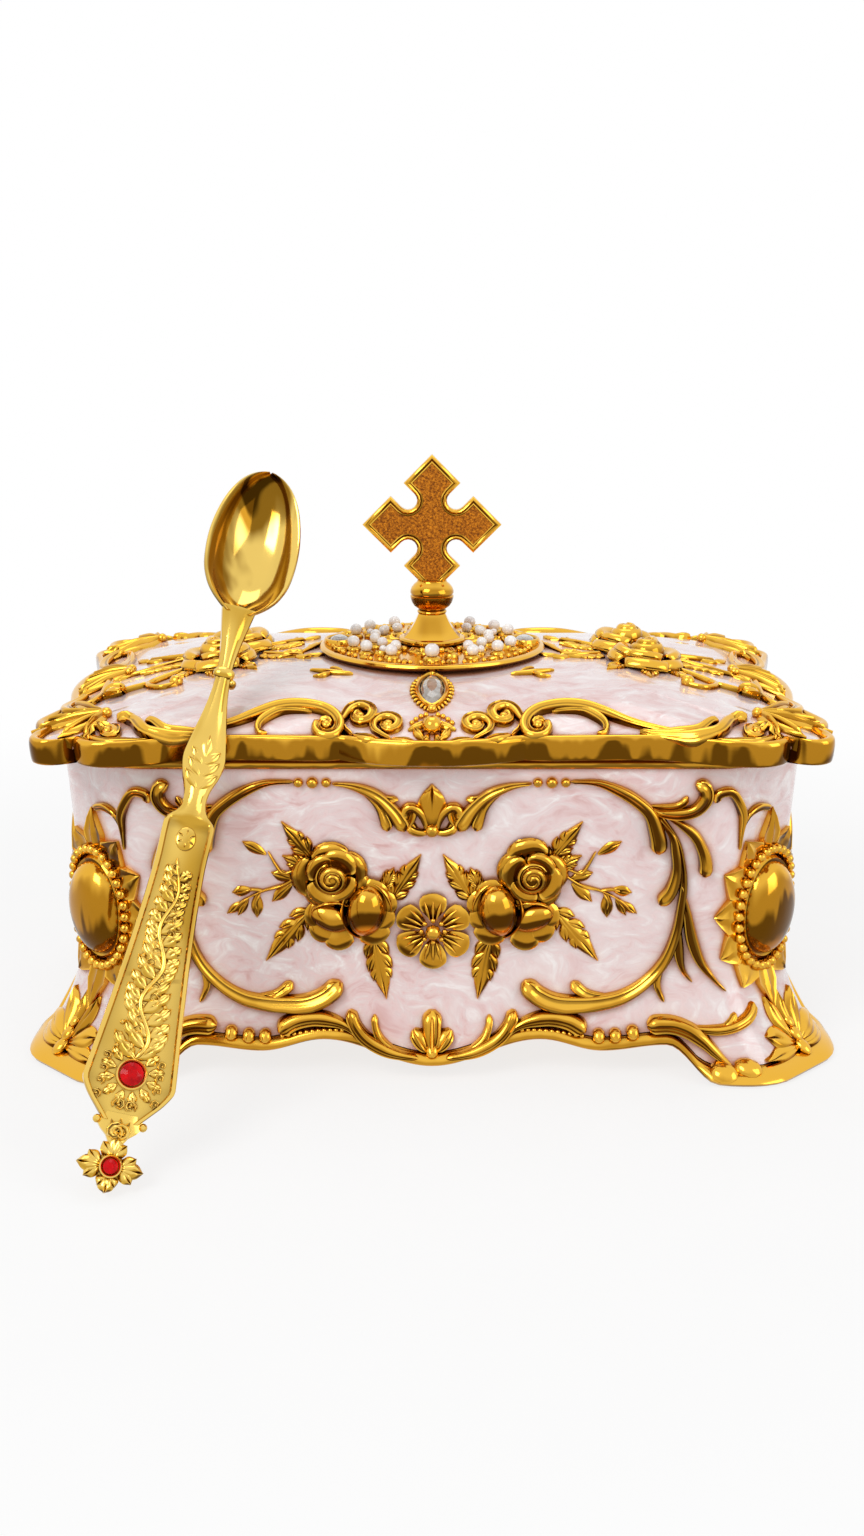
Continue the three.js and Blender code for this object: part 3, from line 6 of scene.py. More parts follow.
import bpy
from mathutils import Euler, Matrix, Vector


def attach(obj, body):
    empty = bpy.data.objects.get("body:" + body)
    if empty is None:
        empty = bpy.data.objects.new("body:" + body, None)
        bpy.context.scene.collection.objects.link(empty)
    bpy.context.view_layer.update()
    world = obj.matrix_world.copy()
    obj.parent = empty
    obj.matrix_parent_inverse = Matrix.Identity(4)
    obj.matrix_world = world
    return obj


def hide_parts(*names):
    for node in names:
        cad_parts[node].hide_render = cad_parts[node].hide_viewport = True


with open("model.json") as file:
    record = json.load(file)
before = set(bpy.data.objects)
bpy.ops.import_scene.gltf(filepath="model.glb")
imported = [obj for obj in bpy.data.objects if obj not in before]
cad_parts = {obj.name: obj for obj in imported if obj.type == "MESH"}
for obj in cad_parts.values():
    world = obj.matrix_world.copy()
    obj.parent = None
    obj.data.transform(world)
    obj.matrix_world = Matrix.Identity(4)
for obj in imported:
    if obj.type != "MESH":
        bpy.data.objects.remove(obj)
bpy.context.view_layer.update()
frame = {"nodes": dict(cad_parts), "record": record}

MM = 0.001
GROUND = 10.0

# The picture and the camera that took it
PICTURE_WIDE = 864
PICTURE_TALL = 1536
PICTURE_MIDDLE = Vector((PICTURE_WIDE / 2, PICTURE_TALL / 2))
CAMERA_BACK = 380.0
CAMERA_HEIGHT = 154.6
CAMERA_PITCH = math.radians(15.24)
CAMERA_FOCUS = 1806.0
SENSOR = 36.0
SEARCH_STEPS = 8
SEARCH_REACH = 20

# Body
HALF_WIDTH = 75.0
HALF_DEPTH = 45.0
CORNER_CUT = 15.0
CORNER_ROUND = 11.0
BODY_TOP = 64.6
WAIST = 25.0
WAIST_DRAW = 2.0
FOOT_FLARE = 9.3
CORNER_FLARE = 4.0
FIELD_SINK = 1.3
WALL = 1.8
LIP = 1.7
EDGE_BAND = 2.2
TOE_BAND = 3.0
TOE_ROLL = 1.2
TOE_FADE = 2.6
ENAMEL_SINK = 0.5
CASTING_STEP = 1.2
ENAMEL_STEP = 1.6
ENAMEL_ROWS = 26
ENAMEL_ROUNDING = 0.45
ENAMEL_ROUNDING_REACH = 0.9
BAND_SEAM = 0.15
LIP_SEAM = 0.1
APRON = [(0, 3.2), (0.39, 7.8), (0.61, 5.8), (0.84, 6.8), (1.03, 0)]
END_APRON = [(0, 4.0), (0.6, 7.6), (1.03, 0)]

# Lid
LID_HALF_WIDTH = 78.0
LID_HALF_DEPTH = 51.3
BAND_BOTTOM = 64.9
BAND_TOP = 69.9
DOME_START = 1.5
DOME_RISE = 9.2
DOME_POWER = 3
LID_WALL = 1.6
ENAMEL_BED = 0.8
DOME_HALF_WIDTH = LID_HALF_WIDTH - 2
DOME_HALF_DEPTH = LID_HALF_DEPTH - 3
LEDGE_HALF_WIDTH = HALF_WIDTH - 4.6
LEDGE_HALF_DEPTH = HALF_DEPTH - 4.6
FRONT_LOBE_HALF = 17.8
FRONT_LOBE_DEPTH = 4.7
SIDE_LOBE_HALF = 15.0
SIDE_LOBE_DEPTH = 2.0
SIDE_LOBE_INSET = 1.2


# Meshes

def clear_selection():
    bpy.ops.object.select_all(action="DESELECT")


def select_only(piece):
    clear_selection()
    piece.select_set(True)
    bpy.context.view_layer.objects.active = piece


def settle(piece, body, slot, finish, smooth, stands_for=None):
    """Gives a finished mesh its material and shading and attaches it to its body; the CAD node that it stands
    for is hidden.
    """
    piece.data.materials.append(finish)
    select_only(piece)
    bpy.ops.object.shade_smooth_by_angle(angle=math.radians(smooth))
    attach(piece, body)
    if stands_for:
        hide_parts(stands_for)


class Drawing:
    """Corners and faces of one casting, gathered shape by shape in millimetres."""

    def __init__(self):
        self.corners = []
        self.faces = []

    def add(self, corners, faces):
        base = len(self.corners)
        self.corners.extend(Vector(corner) for corner in corners)
        self.faces.extend(tuple(base + i for i in face) for face in faces)

    def loft(self, rows, looped=False):
        """Skins rows of equal closed sections; open rows get a cap at each end."""
        count = len(rows[0])
        corners = [corner for row in rows for corner in row]
        faces = []
        bands = len(rows) if looped else len(rows) - 1
        for band in range(bands):
            low = band * count
            high = ((band + 1) % len(rows)) * count
            for i in range(count):
                j = (i + 1) % count
                faces.append((low + i, low + j, high + j, high + i))
        if not looped:
            faces.append(tuple(reversed(range(count))))
            last = (len(rows) - 1) * count
            faces.append(tuple(range(last, last + count)))
        self.add(corners, faces)

    def merge(self, other):
        self.add(other.corners, other.faces)

    def moved(self, place):
        """A copy of the drawing with every corner put through place."""
        other = Drawing()
        other.corners = [place(corner) for corner in self.corners]
        other.faces = list(self.faces)
        return other

    def raised(self, height):
        return self.moved(lambda c: Vector((c.x, c.y, c.z + height)))

    def piece(self, name, body, stands_for=None, slot="deep_gold", finish=None, smooth=40):
        """Makes the object, in metres and with its faces turned outwards."""
        data = bpy.data.meshes.new(name)
        corners = [(c.x * MM, c.y * MM, (c.z - GROUND) * MM) for c in self.corners]
        data.from_pydata(corners, [], self.faces)
        data.validate()
        made = bpy.data.objects.new(name, data)
        bpy.context.scene.collection.objects.link(made)
        select_only(made)
        bpy.ops.object.mode_set(mode="EDIT")
        bpy.ops.mesh.select_all(action="SELECT")
        bpy.ops.mesh.normals_make_consistent(inside=False)
        bpy.ops.object.mode_set(mode="OBJECT")
        settle(made, body, slot, finish or FINISHES[slot], smooth, stands_for)


def corner_at(x, y, z):
    return Vector((x, y, z))


def lofted(rows, looped=False):
    drawing = Drawing()
    drawing.loft(rows, looped)
    return drawing


def rim(drawing, outline_at, profile, place):
    """A closed rim round an outline; the profile says how far out and how high each of its corners is."""
    rings = [[place(*point, rise) for point in outline_at(out)] for out, rise in profile]
    drawing.loft([list(section) for section in zip(*rings)], looped=True)


def lerp(a, b, share):
    return a + (b - a) * share


def ease(share):
    """A smooth rise from 0 to 1."""
    share = max(0.0, min(1.0, share))
    return share * share * (3 - 2 * share)


def unit(degrees):
    """The direction at an angle in a drawing's plane."""
    turn = math.radians(degrees)
    return Vector((math.cos(turn), math.sin(turn)))


def left_of(ahead):
    return Vector((-ahead.y, ahead.x))


def oval(count, reach_x, reach_y, start=0.0):
    """Evenly spaced places on an oval round the origin, each with its direction in degrees."""
    headings = [start + 360 * i / count for i in range(count)]
    return [(Vector((reach_x * unit(h).x, reach_y * unit(h).y)), h) for h in headings]


# Camera

def seen(point):
    """Picture pixel of a point given in millimetres above the ground."""
    ahead = point.y + CAMERA_BACK
    below = CAMERA_HEIGHT - point.z
    depth = ahead * math.cos(CAMERA_PITCH) + below * math.sin(CAMERA_PITCH)
    down = below * math.cos(CAMERA_PITCH) - ahead * math.sin(CAMERA_PITCH)
    return PICTURE_MIDDLE + Vector((point.x, down)) * (CAMERA_FOCUS / depth)


def found_on(place, pixel, guess):
    """The two surface coordinates that the camera sees at a pixel, by Newton steps."""
    u, v = guess
    step = 0.05
    for _ in range(SEARCH_STEPS):
        here = seen(place(u, v))
        along_u = (seen(place(u + step, v)) - here) / step
        along_v = (seen(place(u, v + step)) - here) / step
        gap = Vector(pixel) - here
        area = along_u.x * along_v.y - along_u.y * along_v.x
        if abs(area) < 1e-6:
            break
        move_u = (gap.x * along_v.y - gap.y * along_v.x) / area
        move_v = (gap.y * along_u.x - gap.x * along_u.y) / area
        u += max(-SEARCH_REACH, min(SEARCH_REACH, move_u))
        v += max(-SEARCH_REACH, min(SEARCH_REACH, move_v))
    return u, v


def make_camera():
    data = bpy.data.cameras.new("camera")
    data.sensor_width = SENSOR
    data.lens = CAMERA_FOCUS / PICTURE_TALL * SENSOR
    data.clip_start = 0.01
    data.clip_end = 20
    camera = bpy.data.objects.new("camera", data)
    bpy.context.scene.collection.objects.link(camera)
    camera.location = (0, -CAMERA_BACK * MM, (CAMERA_HEIGHT - GROUND) * MM)
    camera.rotation_euler = Euler((math.pi / 2 - CAMERA_PITCH, 0, 0))
    bpy.context.scene.camera = camera


# Materials

def set_values(node, values):
    for label, value in values.items():
        node.inputs[label].default_value = value


def new_group(name, inputs, outputs):
    tree = bpy.data.node_groups.new(name, "ShaderNodeTree")
    for label, kind, default in inputs:
        socket = tree.interface.new_socket(name=label, in_out="INPUT", socket_type=kind)
        socket.default_value = default
    for label, kind in outputs:
        tree.interface.new_socket(name=label, in_out="OUTPUT", socket_type=kind)
    return tree, tree.nodes.new("NodeGroupInput"), tree.nodes.new("NodeGroupOutput")


def place_in(tree):
    """The Object coordinates."""
    return tree.nodes.new("ShaderNodeTexCoord").outputs["Object"]


def noise(tree, vector, scale, detail=4, roughness=0.5, distortion=0):
    node = tree.nodes.new("ShaderNodeTexNoise")
    set_values(node, {"Scale": scale, "Detail": detail, "Roughness": roughness, "Distortion": distortion})
    tree.links.new(vector, node.inputs["Vector"])
    return node


def ramp(tree, value, stops):
    """Colours along a value; stops are (value, colour), and a colour may be one grey level."""
    node = tree.nodes.new("ShaderNodeValToRGB")
    elements = node.color_ramp.elements
    while len(elements) < len(stops):
        elements.new(0.5)
    for element, (place, colour) in zip(elements, stops):
        element.position = place
        element.color = (*colour, 1) if isinstance(colour, tuple) else (colour, colour, colour, 1)
    tree.links.new(value, node.inputs["Fac"])
    return node.outputs["Color"]


def math_node(tree, operation, *values):
    """A Math node; values are sockets or numbers."""
    node = tree.nodes.new("ShaderNodeMath")
    node.operation = operation
    for socket, value in zip(node.inputs, values):
        if isinstance(value, (int, float)):
            socket.default_value = value
        else:
            tree.links.new(value, socket)
    return node.outputs[0]


def mask(tree, value, nothing, full):
    """0 where the value is nothing, rising smoothly to 1 where it is full."""
    node = tree.nodes.new("ShaderNodeMapRange")
    node.interpolation_type = "SMOOTHSTEP"
    set_values(node, {"From Min": nothing, "From Max": full})
    tree.links.new(value, node.inputs["Value"])
    return node.outputs["Result"]


def painted_corner_mask(tree, reach, samples, nothing, full, strength):
    """Mask for painted light in corners: rises to strength where other surfaces stand within reach."""
    near = tree.nodes.new("ShaderNodeAmbientOcclusion")
    near.samples = samples
    near.inputs["Distance"].default_value = reach
    return math_node(tree, "MULTIPLY", mask(tree, near.outputs["AO"], nothing, full), strength)


def mixed(tree, share, first, second):
    node = tree.nodes.new("ShaderNodeMix")
    node.data_type = "RGBA"
    tree.links.new(share, node.inputs[0])
    for socket, value in ((node.inputs[6], first), (node.inputs[7], second)):
        if isinstance(value, tuple):
            socket.default_value = (*value, 1)
        else:
            tree.links.new(value, socket)
    return node.outputs[2]


# The clouds that break up the painted light are stretched upright by this much.
CLOUD_STRETCH = 0.12


def gilt_painted_light_group():
    """Gilding with painted light: a painted highlight on top and on sharp edges, painted brown shade across
    its flanks, a painted amber underglow underneath and painted shade in its hollows and corners.
    """
    colours = [(label, "NodeSocketColor", (1, 1, 1, 1)) for label in ("Bright", "Middle", "Painted Shade", "Painted Underglow")]
    numbers = [("Cloud Size", "NodeSocketFloat", 60.0), ("Polish", "NodeSocketFloat", 0.15)]
    results = [("Colour", "NodeSocketColor"), ("Roughness", "NodeSocketFloat"), ("Height", "NodeSocketFloat")]
    tree, start, end = new_group("gilt_painted_light", colours + numbers, results)
    painted_highlight, middle, painted_shade, glow, cloud_size, polish = list(start.outputs)[:6]
    coordinates = tree.nodes.new("ShaderNodeTexCoord")
    upright = tree.nodes.new("ShaderNodeMapping")
    upright.inputs["Scale"].default_value = (1.0, 1.0, CLOUD_STRETCH)
    tree.links.new(coordinates.outputs["Object"], upright.inputs["Vector"])
    clouds = noise(tree, upright.outputs["Vector"], 60, 2)
    tree.links.new(cloud_size, clouds.inputs["Scale"])
    facing = tree.nodes.new("ShaderNodeSeparateXYZ")
    tree.links.new(coordinates.outputs["Normal"], facing.inputs[0])
    # Painted light by facing: a level taken from how far the surface faces up.
    tone = math_node(tree, "MULTIPLY_ADD", facing.outputs["Z"], 0.5, 0.5)
    # Noise clouds shift that level, breaking the painted light into patches like painted reflections.
    drift = math_node(tree, "MULTIPLY_ADD", clouds.outputs["Fac"], 0.9, -0.45)
    tone = math_node(tree, "ADD", tone, drift)
    pointed = tree.nodes.new("ShaderNodeNewGeometry").outputs["Pointiness"]
    # The gold's own colour takes the painted highlight where it faces up, then painted shade on flanks, in
    # hollows and near other surfaces, the painted underglow underneath and a painted highlight on sharp
    # edges.
    colour = mixed(tree, mask(tree, tone, 0.60, 0.80), middle, painted_highlight)
    for share, laid in (
        (mask(tree, tone, 0.50, 0.42), painted_shade), (mask(tree, tone, 0.26, 0.12), glow),
        (mask(tree, pointed, 0.495, 0.43), painted_shade), (painted_corner_mask(tree, 0.003, 5, 0.80, 0.30, 0.85), painted_shade),
        (mask(tree, pointed, 0.53, 0.60), painted_highlight),
    ):
        colour = mixed(tree, share, colour, laid)
    rough = math_node(tree, "MULTIPLY_ADD", clouds.outputs["Fac"], 0.1, polish)
    grain = noise(tree, coordinates.outputs["Object"], 1400, 3).outputs["Fac"]
    for value, label in ((colour, "Colour"), (rough, "Roughness"), (grain, "Height")):
        tree.links.new(value, end.inputs[label])
    return tree


def new_material(name, values):
    """A material with its tree and its Principled shader, whose plain sockets take the values."""
    material = bpy.data.materials.new(name)
    material.use_nodes = True
    tree = material.node_tree
    shader = tree.nodes["Principled BSDF"]
    set_values(shader, values)
    return material, tree, shader


def clouded(tree, shader, scale, detail, roughness, stops):
    """Colours the shader by a noise, and gives the noise's value."""
    value = noise(tree, place_in(tree), scale, detail, roughness).outputs["Fac"]
    tree.links.new(ramp(tree, value, stops), shader.inputs["Base Color"])
    return value


def use_bump(tree, shader, height, strength, distance):
    bump = tree.nodes.new("ShaderNodeBump")
    set_values(bump, {"Strength": strength, "Distance": distance})
    tree.links.new(height, bump.inputs["Height"])
    tree.links.new(bump.outputs["Normal"], shader.inputs["Normal"])


def gilt(name, painted_highlight, middle, painted_shade, glow, polish, cloud_size):
    """Gilded metal in four colours: a painted highlight, its own colour, painted shade and a painted amber
    underglow.
    """
    material, tree, shader = new_material(name, {"Metallic": 1})
    finish = tree.nodes.new("ShaderNodeGroup")
    finish.node_tree = GILT
    colours = {"Bright": painted_highlight, "Middle": middle, "Painted Shade": painted_shade, "Painted Underglow": glow}
    set_values(finish, {label: (*colour, 1) for label, colour in colours.items()})
    set_values(finish, {"Cloud Size": cloud_size, "Polish": polish})
    tree.links.new(finish.outputs["Colour"], shader.inputs["Base Color"])
    tree.links.new(finish.outputs["Roughness"], shader.inputs["Roughness"])
    use_bump(tree, shader, finish.outputs["Height"], 0.02, 0.0002)
    return material


def brushed(tree, place, turn, warp):
    """Fine streaks that run along a turned direction and waver."""
    lean = tree.nodes.new("ShaderNodeMapping")
    set_values(lean, {"Rotation": turn, "Scale": (0.42, 1.0, 1.0)})
    push = tree.nodes.new("ShaderNodeVectorMath")
    push.operation = "MULTIPLY_ADD"
    tree.links.new(warp, push.inputs[0])
    push.inputs[1].default_value = (0.016, 0.016, 0.016)
    tree.links.new(place, push.inputs[2])
    tree.links.new(push.outputs[0], lean.inputs["Vector"])
    return noise(tree, lean.outputs["Vector"], 330, 4, 0.62, 0.9).outputs["Fac"]


def enamel_material():
    """Pearly pink enamel, brushed in short crossing streaks under a clear coat, with painted shade and a
    painted amber reflection of the gold beside the gilt relief.
    """
    material, tree, shader = new_material("pink_enamel", {"Coat Weight": 0.8, "Coat Roughness": 0.06})
    place = place_in(tree)
    warp = noise(tree, place, 55, 2).outputs["Color"]
    streaks = tree.nodes.new("ShaderNodeMix")
    patches = mask(tree, noise(tree, place, 70, 2).outputs["Fac"], 0.42, 0.58)
    rising = brushed(tree, place, (0.3, 0.5, 0.6), warp)
    falling = brushed(tree, place, (-0.4, 0.35, -0.8), warp)
    for value, socket in ((patches, 0), (rising, 2), (falling, 3)):
        tree.links.new(value, streaks.inputs[socket])
    streak = streaks.outputs[0]
    tint = ramp(tree, streak, [
        (0.30, (0.70, 0.41, 0.39)), (0.44, (0.79, 0.57, 0.56)),
        (0.56, (0.84, 0.70, 0.69)), (0.70, (0.95, 0.90, 0.89)),
    ])
    broad = mask(tree, noise(tree, place, 28, 3).outputs["Fac"], 0.35, 0.68)
    body = mixed(tree, math_node(tree, "MULTIPLY", broad, 0.35), tint, (0.90, 0.80, 0.80))
    # Painted shade and painted amber reflection of the gold where the gilt relief stands near.
    beside = painted_corner_mask(tree, 0.0018, 6, 0.90, 0.45, 0.9)
    tree.links.new(mixed(tree, beside, body, (0.52, 0.17, 0.05)), shader.inputs["Base Color"])
    tree.links.new(ramp(tree, streak, [(0.3, 0.34), (0.7, 0.2)]), shader.inputs["Roughness"])
    use_bump(tree, shader, streak, 0.2, 0.0002)
    return material


def pearl_material():
    values = {"Roughness": 0.16, "Coat Weight": 1.0, "Coat Roughness": 0.05}
    material, tree, shader = new_material("pearl", values)
    clouded(tree, shader, 350, 2, 0.5, [(0.35, (0.87, 0.78, 0.75)), (0.6, (0.96, 0.93, 0.90))])
    return material


def stone_material(name, colour, dark, clear, coat, bending):
    """A polished stone; clear is how much light it lets through and bending its index of refraction."""
    material, tree, shader = new_material(name, {
        "Roughness": 0.05, "IOR": bending, "Transmission Weight": clear,
        "Coat Weight": coat, "Coat Roughness": 0.02,
    })
    clouded(tree, shader, 500, 2, 0.5, [(0.35, dark), (0.65, colour)])
    return material


def grained_bronze_material():
    material, tree, shader = new_material("grained_bronze", {"Metallic": 0.75, "Roughness": 0.55})
    grains = clouded(tree, shader, 2200, 4, 0.7, [
        (0.36, (0.16, 0.042, 0.002)), (0.5, (0.42, 0.13, 0.005)), (0.64, (0.68, 0.25, 0.012)),
    ])
    use_bump(tree, shader, grains, 0.6, 0.0003)
    return material


def steel_material():
    material, tree, shader = new_material("bright_steel", {"Metallic": 1, "Roughness": 0.32})
    clouded(tree, shader, 900, 3, 0.5, [(0.3, (0.40, 0.39, 0.37)), (0.7, (0.55, 0.54, 0.52))])
    return material


GILT = gilt_painted_light_group()
# Each gilt: painted highlight, own colour, painted shade, painted amber underglow, polish and cloud size.
DEEP_GOLD = gilt(
    "deep_gold", (0.86, 0.475, 0.055), (0.50, 0.232, 0.017), (0.085, 0.030, 0.002), (0.62, 0.21, 0.012),
    0.08, 90,
)
SPOON_GOLD = gilt(
    "spoon_gold", (0.86, 0.58, 0.13), (0.60, 0.345, 0.04), (0.12, 0.048, 0.004), (0.66, 0.30, 0.02),
    0.08, 70,
)
SMOOTH_GOLD = gilt(
    "smooth_gold", (0.82, 0.44, 0.046), (0.45, 0.205, 0.014), (0.125, 0.050, 0.003), (0.38, 0.14, 0.008),
    0.07, 175,
)
# The bowl's middle colour is dark, so that its clouds paint dark reflections beside the painted highlight.
BOWL_GOLD = gilt(
    "bowl_gold", (0.90, 0.62, 0.15), (0.27, 0.130, 0.010), (0.05, 0.020, 0.001), (0.66, 0.30, 0.02),
    0.05, 150,
)
ENAMEL = enamel_material()
PEARL = pearl_material()
RUBY = stone_material("ruby", (0.80, 0.001, 0.004), (0.42, 0.0, 0.002), 0.0, 0.0, 1.25)
CRYSTAL = stone_material("crystal", (0.80, 0.76, 0.70), (0.45, 0.38, 0.31), 0.5, 1.0, 1.7)
BRONZE = grained_bronze_material()
STEEL = steel_material()
FINISHES = {
    "deep_gold": DEEP_GOLD, "spoon_gold": SPOON_GOLD, "pink_enamel": ENAMEL, "crystal": CRYSTAL,
    "ruby": RUBY, "grainy_bronze": BRONZE, "steel": STEEL,
}


def dress_cad_nodes():
    for part in frame["record"]["subparts"]:
        data = frame["nodes"][part["node"]].data
        data.materials.clear()
        data.materials.append(FINISHES[part["material_slot"]])


# Surface of the body

def wall_reach(height, corner_share):
    """How far the wall stands out: drawn in at the waist, flared at the feet and more at the corners."""
    if height >= WAIST:
        rise = (height - WAIST) / (BODY_TOP - WAIST)
        return -WAIST_DRAW * math.cos(math.pi / 2 * rise)
    fall = (WAIST - height) / WAIST
    return (FOOT_FLARE + CORNER_FLARE * corner_share) * fall * fall - WAIST_DRAW


EIGHTH = math.pi / 4
CORNER_TANGENT = CORNER_ROUND * math.tan(EIGHTH / 2)
FRONT_RUN = HALF_WIDTH - CORNER_CUT - CORNER_TANGENT
ROUND_RUN = CORNER_ROUND * EIGHTH
CANT_RUN = CORNER_CUT * math.sqrt(2) - 2 * CORNER_TANGENT
SIDE_RUN = HALF_DEPTH - CORNER_CUT - CORNER_TANGENT
QUARTER_RUN = FRONT_RUN + 2 * ROUND_RUN + CANT_RUN + SIDE_RUN
CORNER_RUN = FRONT_RUN + ROUND_RUN + CANT_RUN / 2
BACK_RUN = 2 * QUARTER_RUN


def quarter_plan(run):
    """Point and outward normal on the front right quarter of the plan."""
    def turned(centre_x, centre_y, angle):
        normal = Vector((math.sin(angle), -math.cos(angle)))
        return Vector((centre_x, centre_y)) + normal * CORNER_ROUND, normal

    if run <= FRONT_RUN:
        return Vector((run, -HALF_DEPTH)), Vector((0, -1))
    if run <= FRONT_RUN + ROUND_RUN:
        return turned(FRONT_RUN, CORNER_ROUND - HALF_DEPTH, (run - FRONT_RUN) / CORNER_ROUND)
    if run <= FRONT_RUN + ROUND_RUN + CANT_RUN:
        point, normal = turned(FRONT_RUN, CORNER_ROUND - HALF_DEPTH, EIGHTH)
        along = (run - FRONT_RUN - ROUND_RUN) * math.sqrt(0.5)
        return point + Vector((along, along)), normal
    if run <= QUARTER_RUN - SIDE_RUN:
        angle = EIGHTH + (run - FRONT_RUN - ROUND_RUN - CANT_RUN) / CORNER_ROUND
        return turned(HALF_WIDTH - CORNER_ROUND, -SIDE_RUN, angle)
    return Vector((HALF_WIDTH, run - QUARTER_RUN)), Vector((1, 0))


def wrapped(run):
    """The same run, from the front's middle to the back's on the right or, negative, on the left."""
    return (run + BACK_RUN) % (2 * BACK_RUN) - BACK_RUN


def wall_point(run, height, lift):
    """Place on the body's wall: run goes round it from the front's middle, lift stands out from it."""
    run = wrapped(run)
    across = -1 if run < 0 else 1
    length = abs(run)
    front = -1 if length > QUARTER_RUN else 1
    quarter = length if front > 0 else BACK_RUN - length
    point, normal = quarter_plan(quarter)
    inside = min(quarter - FRONT_RUN, QUARTER_RUN - SIDE_RUN - quarter) / ROUND_RUN
    reach = wall_reach(height, ease(inside)) + lift
    return Vector((across * (point.x + normal.x * reach), front * (point.y + normal.y * reach), height))


def scallop(distance, straight_run, steps):
    """Height of the lower edge at a distance from the middle of a wall."""
    share = abs(distance) / straight_run
    for (near, low), (far, high) in zip(steps, steps[1:]):
        if share <= far:
            return lerp(low, high, (1 - math.cos(math.pi * (share - near) / (far - near))) / 2)
    return 0.0


def apron_edge(run):
    length = abs(wrapped(run))
    from_long_middle = min(length, BACK_RUN - length)
    from_end_middle = abs(length - QUARTER_RUN)
    return max(scallop(from_long_middle, FRONT_RUN, APRON), scallop(from_end_middle, SIDE_RUN, END_APRON))


def toe_share(edge):
    """1 on the feet, where the lower edge touches the ground, fading to 0 above them."""
    return ease(1 - edge / TOE_FADE)


def band_height(edge):
    return lerp(EDGE_BAND, TOE_BAND, toe_share(edge))


def plan_steps(step):
    """Runs round the whole body, about a step apart."""
    count = int(round(2 * BACK_RUN / step / 4)) * 4
    return [-BACK_RUN + 2 * BACK_RUN * i / count for i in range(count)]


def body_casting():
    """The cast body: banded lower edge, sunk field behind the enamel, lip and smooth inside."""
    sections = []
    for run in plan_steps(CASTING_STEP):
        edge = apron_edge(run)
        tall = band_height(edge)
        roll = TOE_ROLL * toe_share(edge)
        band = [
            (edge, -FIELD_SINK), (edge, -0.55), (edge + 0.12 * tall, -0.12 + 0.5 * roll),
            (edge + 0.3 * tall, 0.12 + roll), (edge + 0.5 * tall, 0.15 + 1.1 * roll),
            (edge + 0.7 * tall, 0.08 + 0.9 * roll), (edge + 0.88 * tall, -0.2 + 0.4 * roll),
            (edge + tall, -0.55), (edge + tall + 0.02, -FIELD_SINK),
        ]
        lip_low = BODY_TOP - LIP
        field = [(lerp(edge + tall, lip_low, k / 6), -FIELD_SINK) for k in range(1, 6)]
        lip = [
            (lip_low, -FIELD_SINK), (lip_low + 0.02, -0.5), (lip_low + 0.25, -0.1), (lip_low + 0.8, 0.1),
            (BODY_TOP - 0.4, 0.0), (BODY_TOP, -0.5), (BODY_TOP, -FIELD_SINK - WALL),
        ]
        inside = [(lerp(BODY_TOP, edge, k / 7), -FIELD_SINK - WALL) for k in range(1, 8)]
        profile = band + field + lip + inside
        sections.append([wall_point(run, height, lift) for height, lift in profile])
    return lofted(sections, looped=True)


def body_enamel():
    """The enamel skin, rounded off towards the band below and the lip above."""
    sections = []
    for run in plan_steps(ENAMEL_STEP):
        edge = apron_edge(run)
        low = edge + band_height(edge) + BAND_SEAM
        high = BODY_TOP - LIP - LIP_SEAM
        outer = []
        for k in range(ENAMEL_ROWS + 1):
            height = lerp(low, high, k / ENAMEL_ROWS)
            near = min(1, min(height - low, high - height) / ENAMEL_ROUNDING_REACH)
            outer.append((height, -ENAMEL_SINK - ENAMEL_ROUNDING * (1 - near) ** 2))
        inner = [(lerp(high, low, k / 8), -FIELD_SINK + 0.1) for k in range(9)]
        sections.append([wall_point(run, height, lift) for height, lift in outer + inner])
    return lofted(sections, looped=True)


# Ornament, drawn flat with +z as its relief

ROUND = [
    (-1, 0), (-0.94, 0.4), (-0.74, 0.75), (-0.4, 0.94), (0, 1),
    (0.4, 0.94), (0.74, 0.75), (0.94, 0.4), (1, 0),
]
FLUTED = [
    (-1, 0), (-0.97, 0.45), (-0.84, 0.78), (-0.64, 0.86), (-0.5, 0.7), (-0.3, 0.72),
    (-0.05, 0.9), (0.2, 1.0), (0.48, 0.98), (0.76, 0.8), (0.95, 0.42), (1, 0),
]
BEDDING = -0.35
PETAL_THICKNESS = 0.5
SCROLL_FULLNESS = 1.25


def bedded(row):
    """Closes a section with two corners sunk below the ornament's ground."""
    return row + [Vector((c.x, c.y, BEDDING)) for c in (row[-1], row[0])]


def smooth_path(points, step=0.7):
    """Evenly spaced points and headings on a smooth line through the given ones."""
    fine = []
    last = len(points) - 1
    for i in range(last):
        p0 = Vector(points[max(i - 1, 0)])
        p1 = Vector(points[i])
        p2 = Vector(points[i + 1])
        p3 = Vector(points[min(i + 2, last)])
        for k in range(12):
            t = k / 12
            fine.append(0.5 * (2 * p1 + (p2 - p0) * t + (2 * p0 - 5 * p1 + 4 * p2 - p3) * t * t
                               + (3 * p1 - p0 - 3 * p2 + p3) * t ** 3))
    fine.append(Vector(points[last]))
    lengths = [0.0]
    for a, b in zip(fine, fine[1:]):
        lengths.append(lengths[-1] + (b - a).length)
    count = max(6, int(lengths[-1] / step))
    path = []
    at = 0
    for i in range(count + 1):
        wanted = lengths[-1] * i / count
        while at < len(fine) - 2 and lengths[at + 1] < wanted:
            at += 1
        span = lengths[at + 1] - lengths[at] or 1
        path.append(fine[at].lerp(fine[at + 1], (wanted - lengths[at]) / span))
    result = []
    for i, point in enumerate(path):
        heading = (path[min(i + 1, count)] - path[max(i - 1, 0)]).normalized()
        result.append((point, heading))
    return result


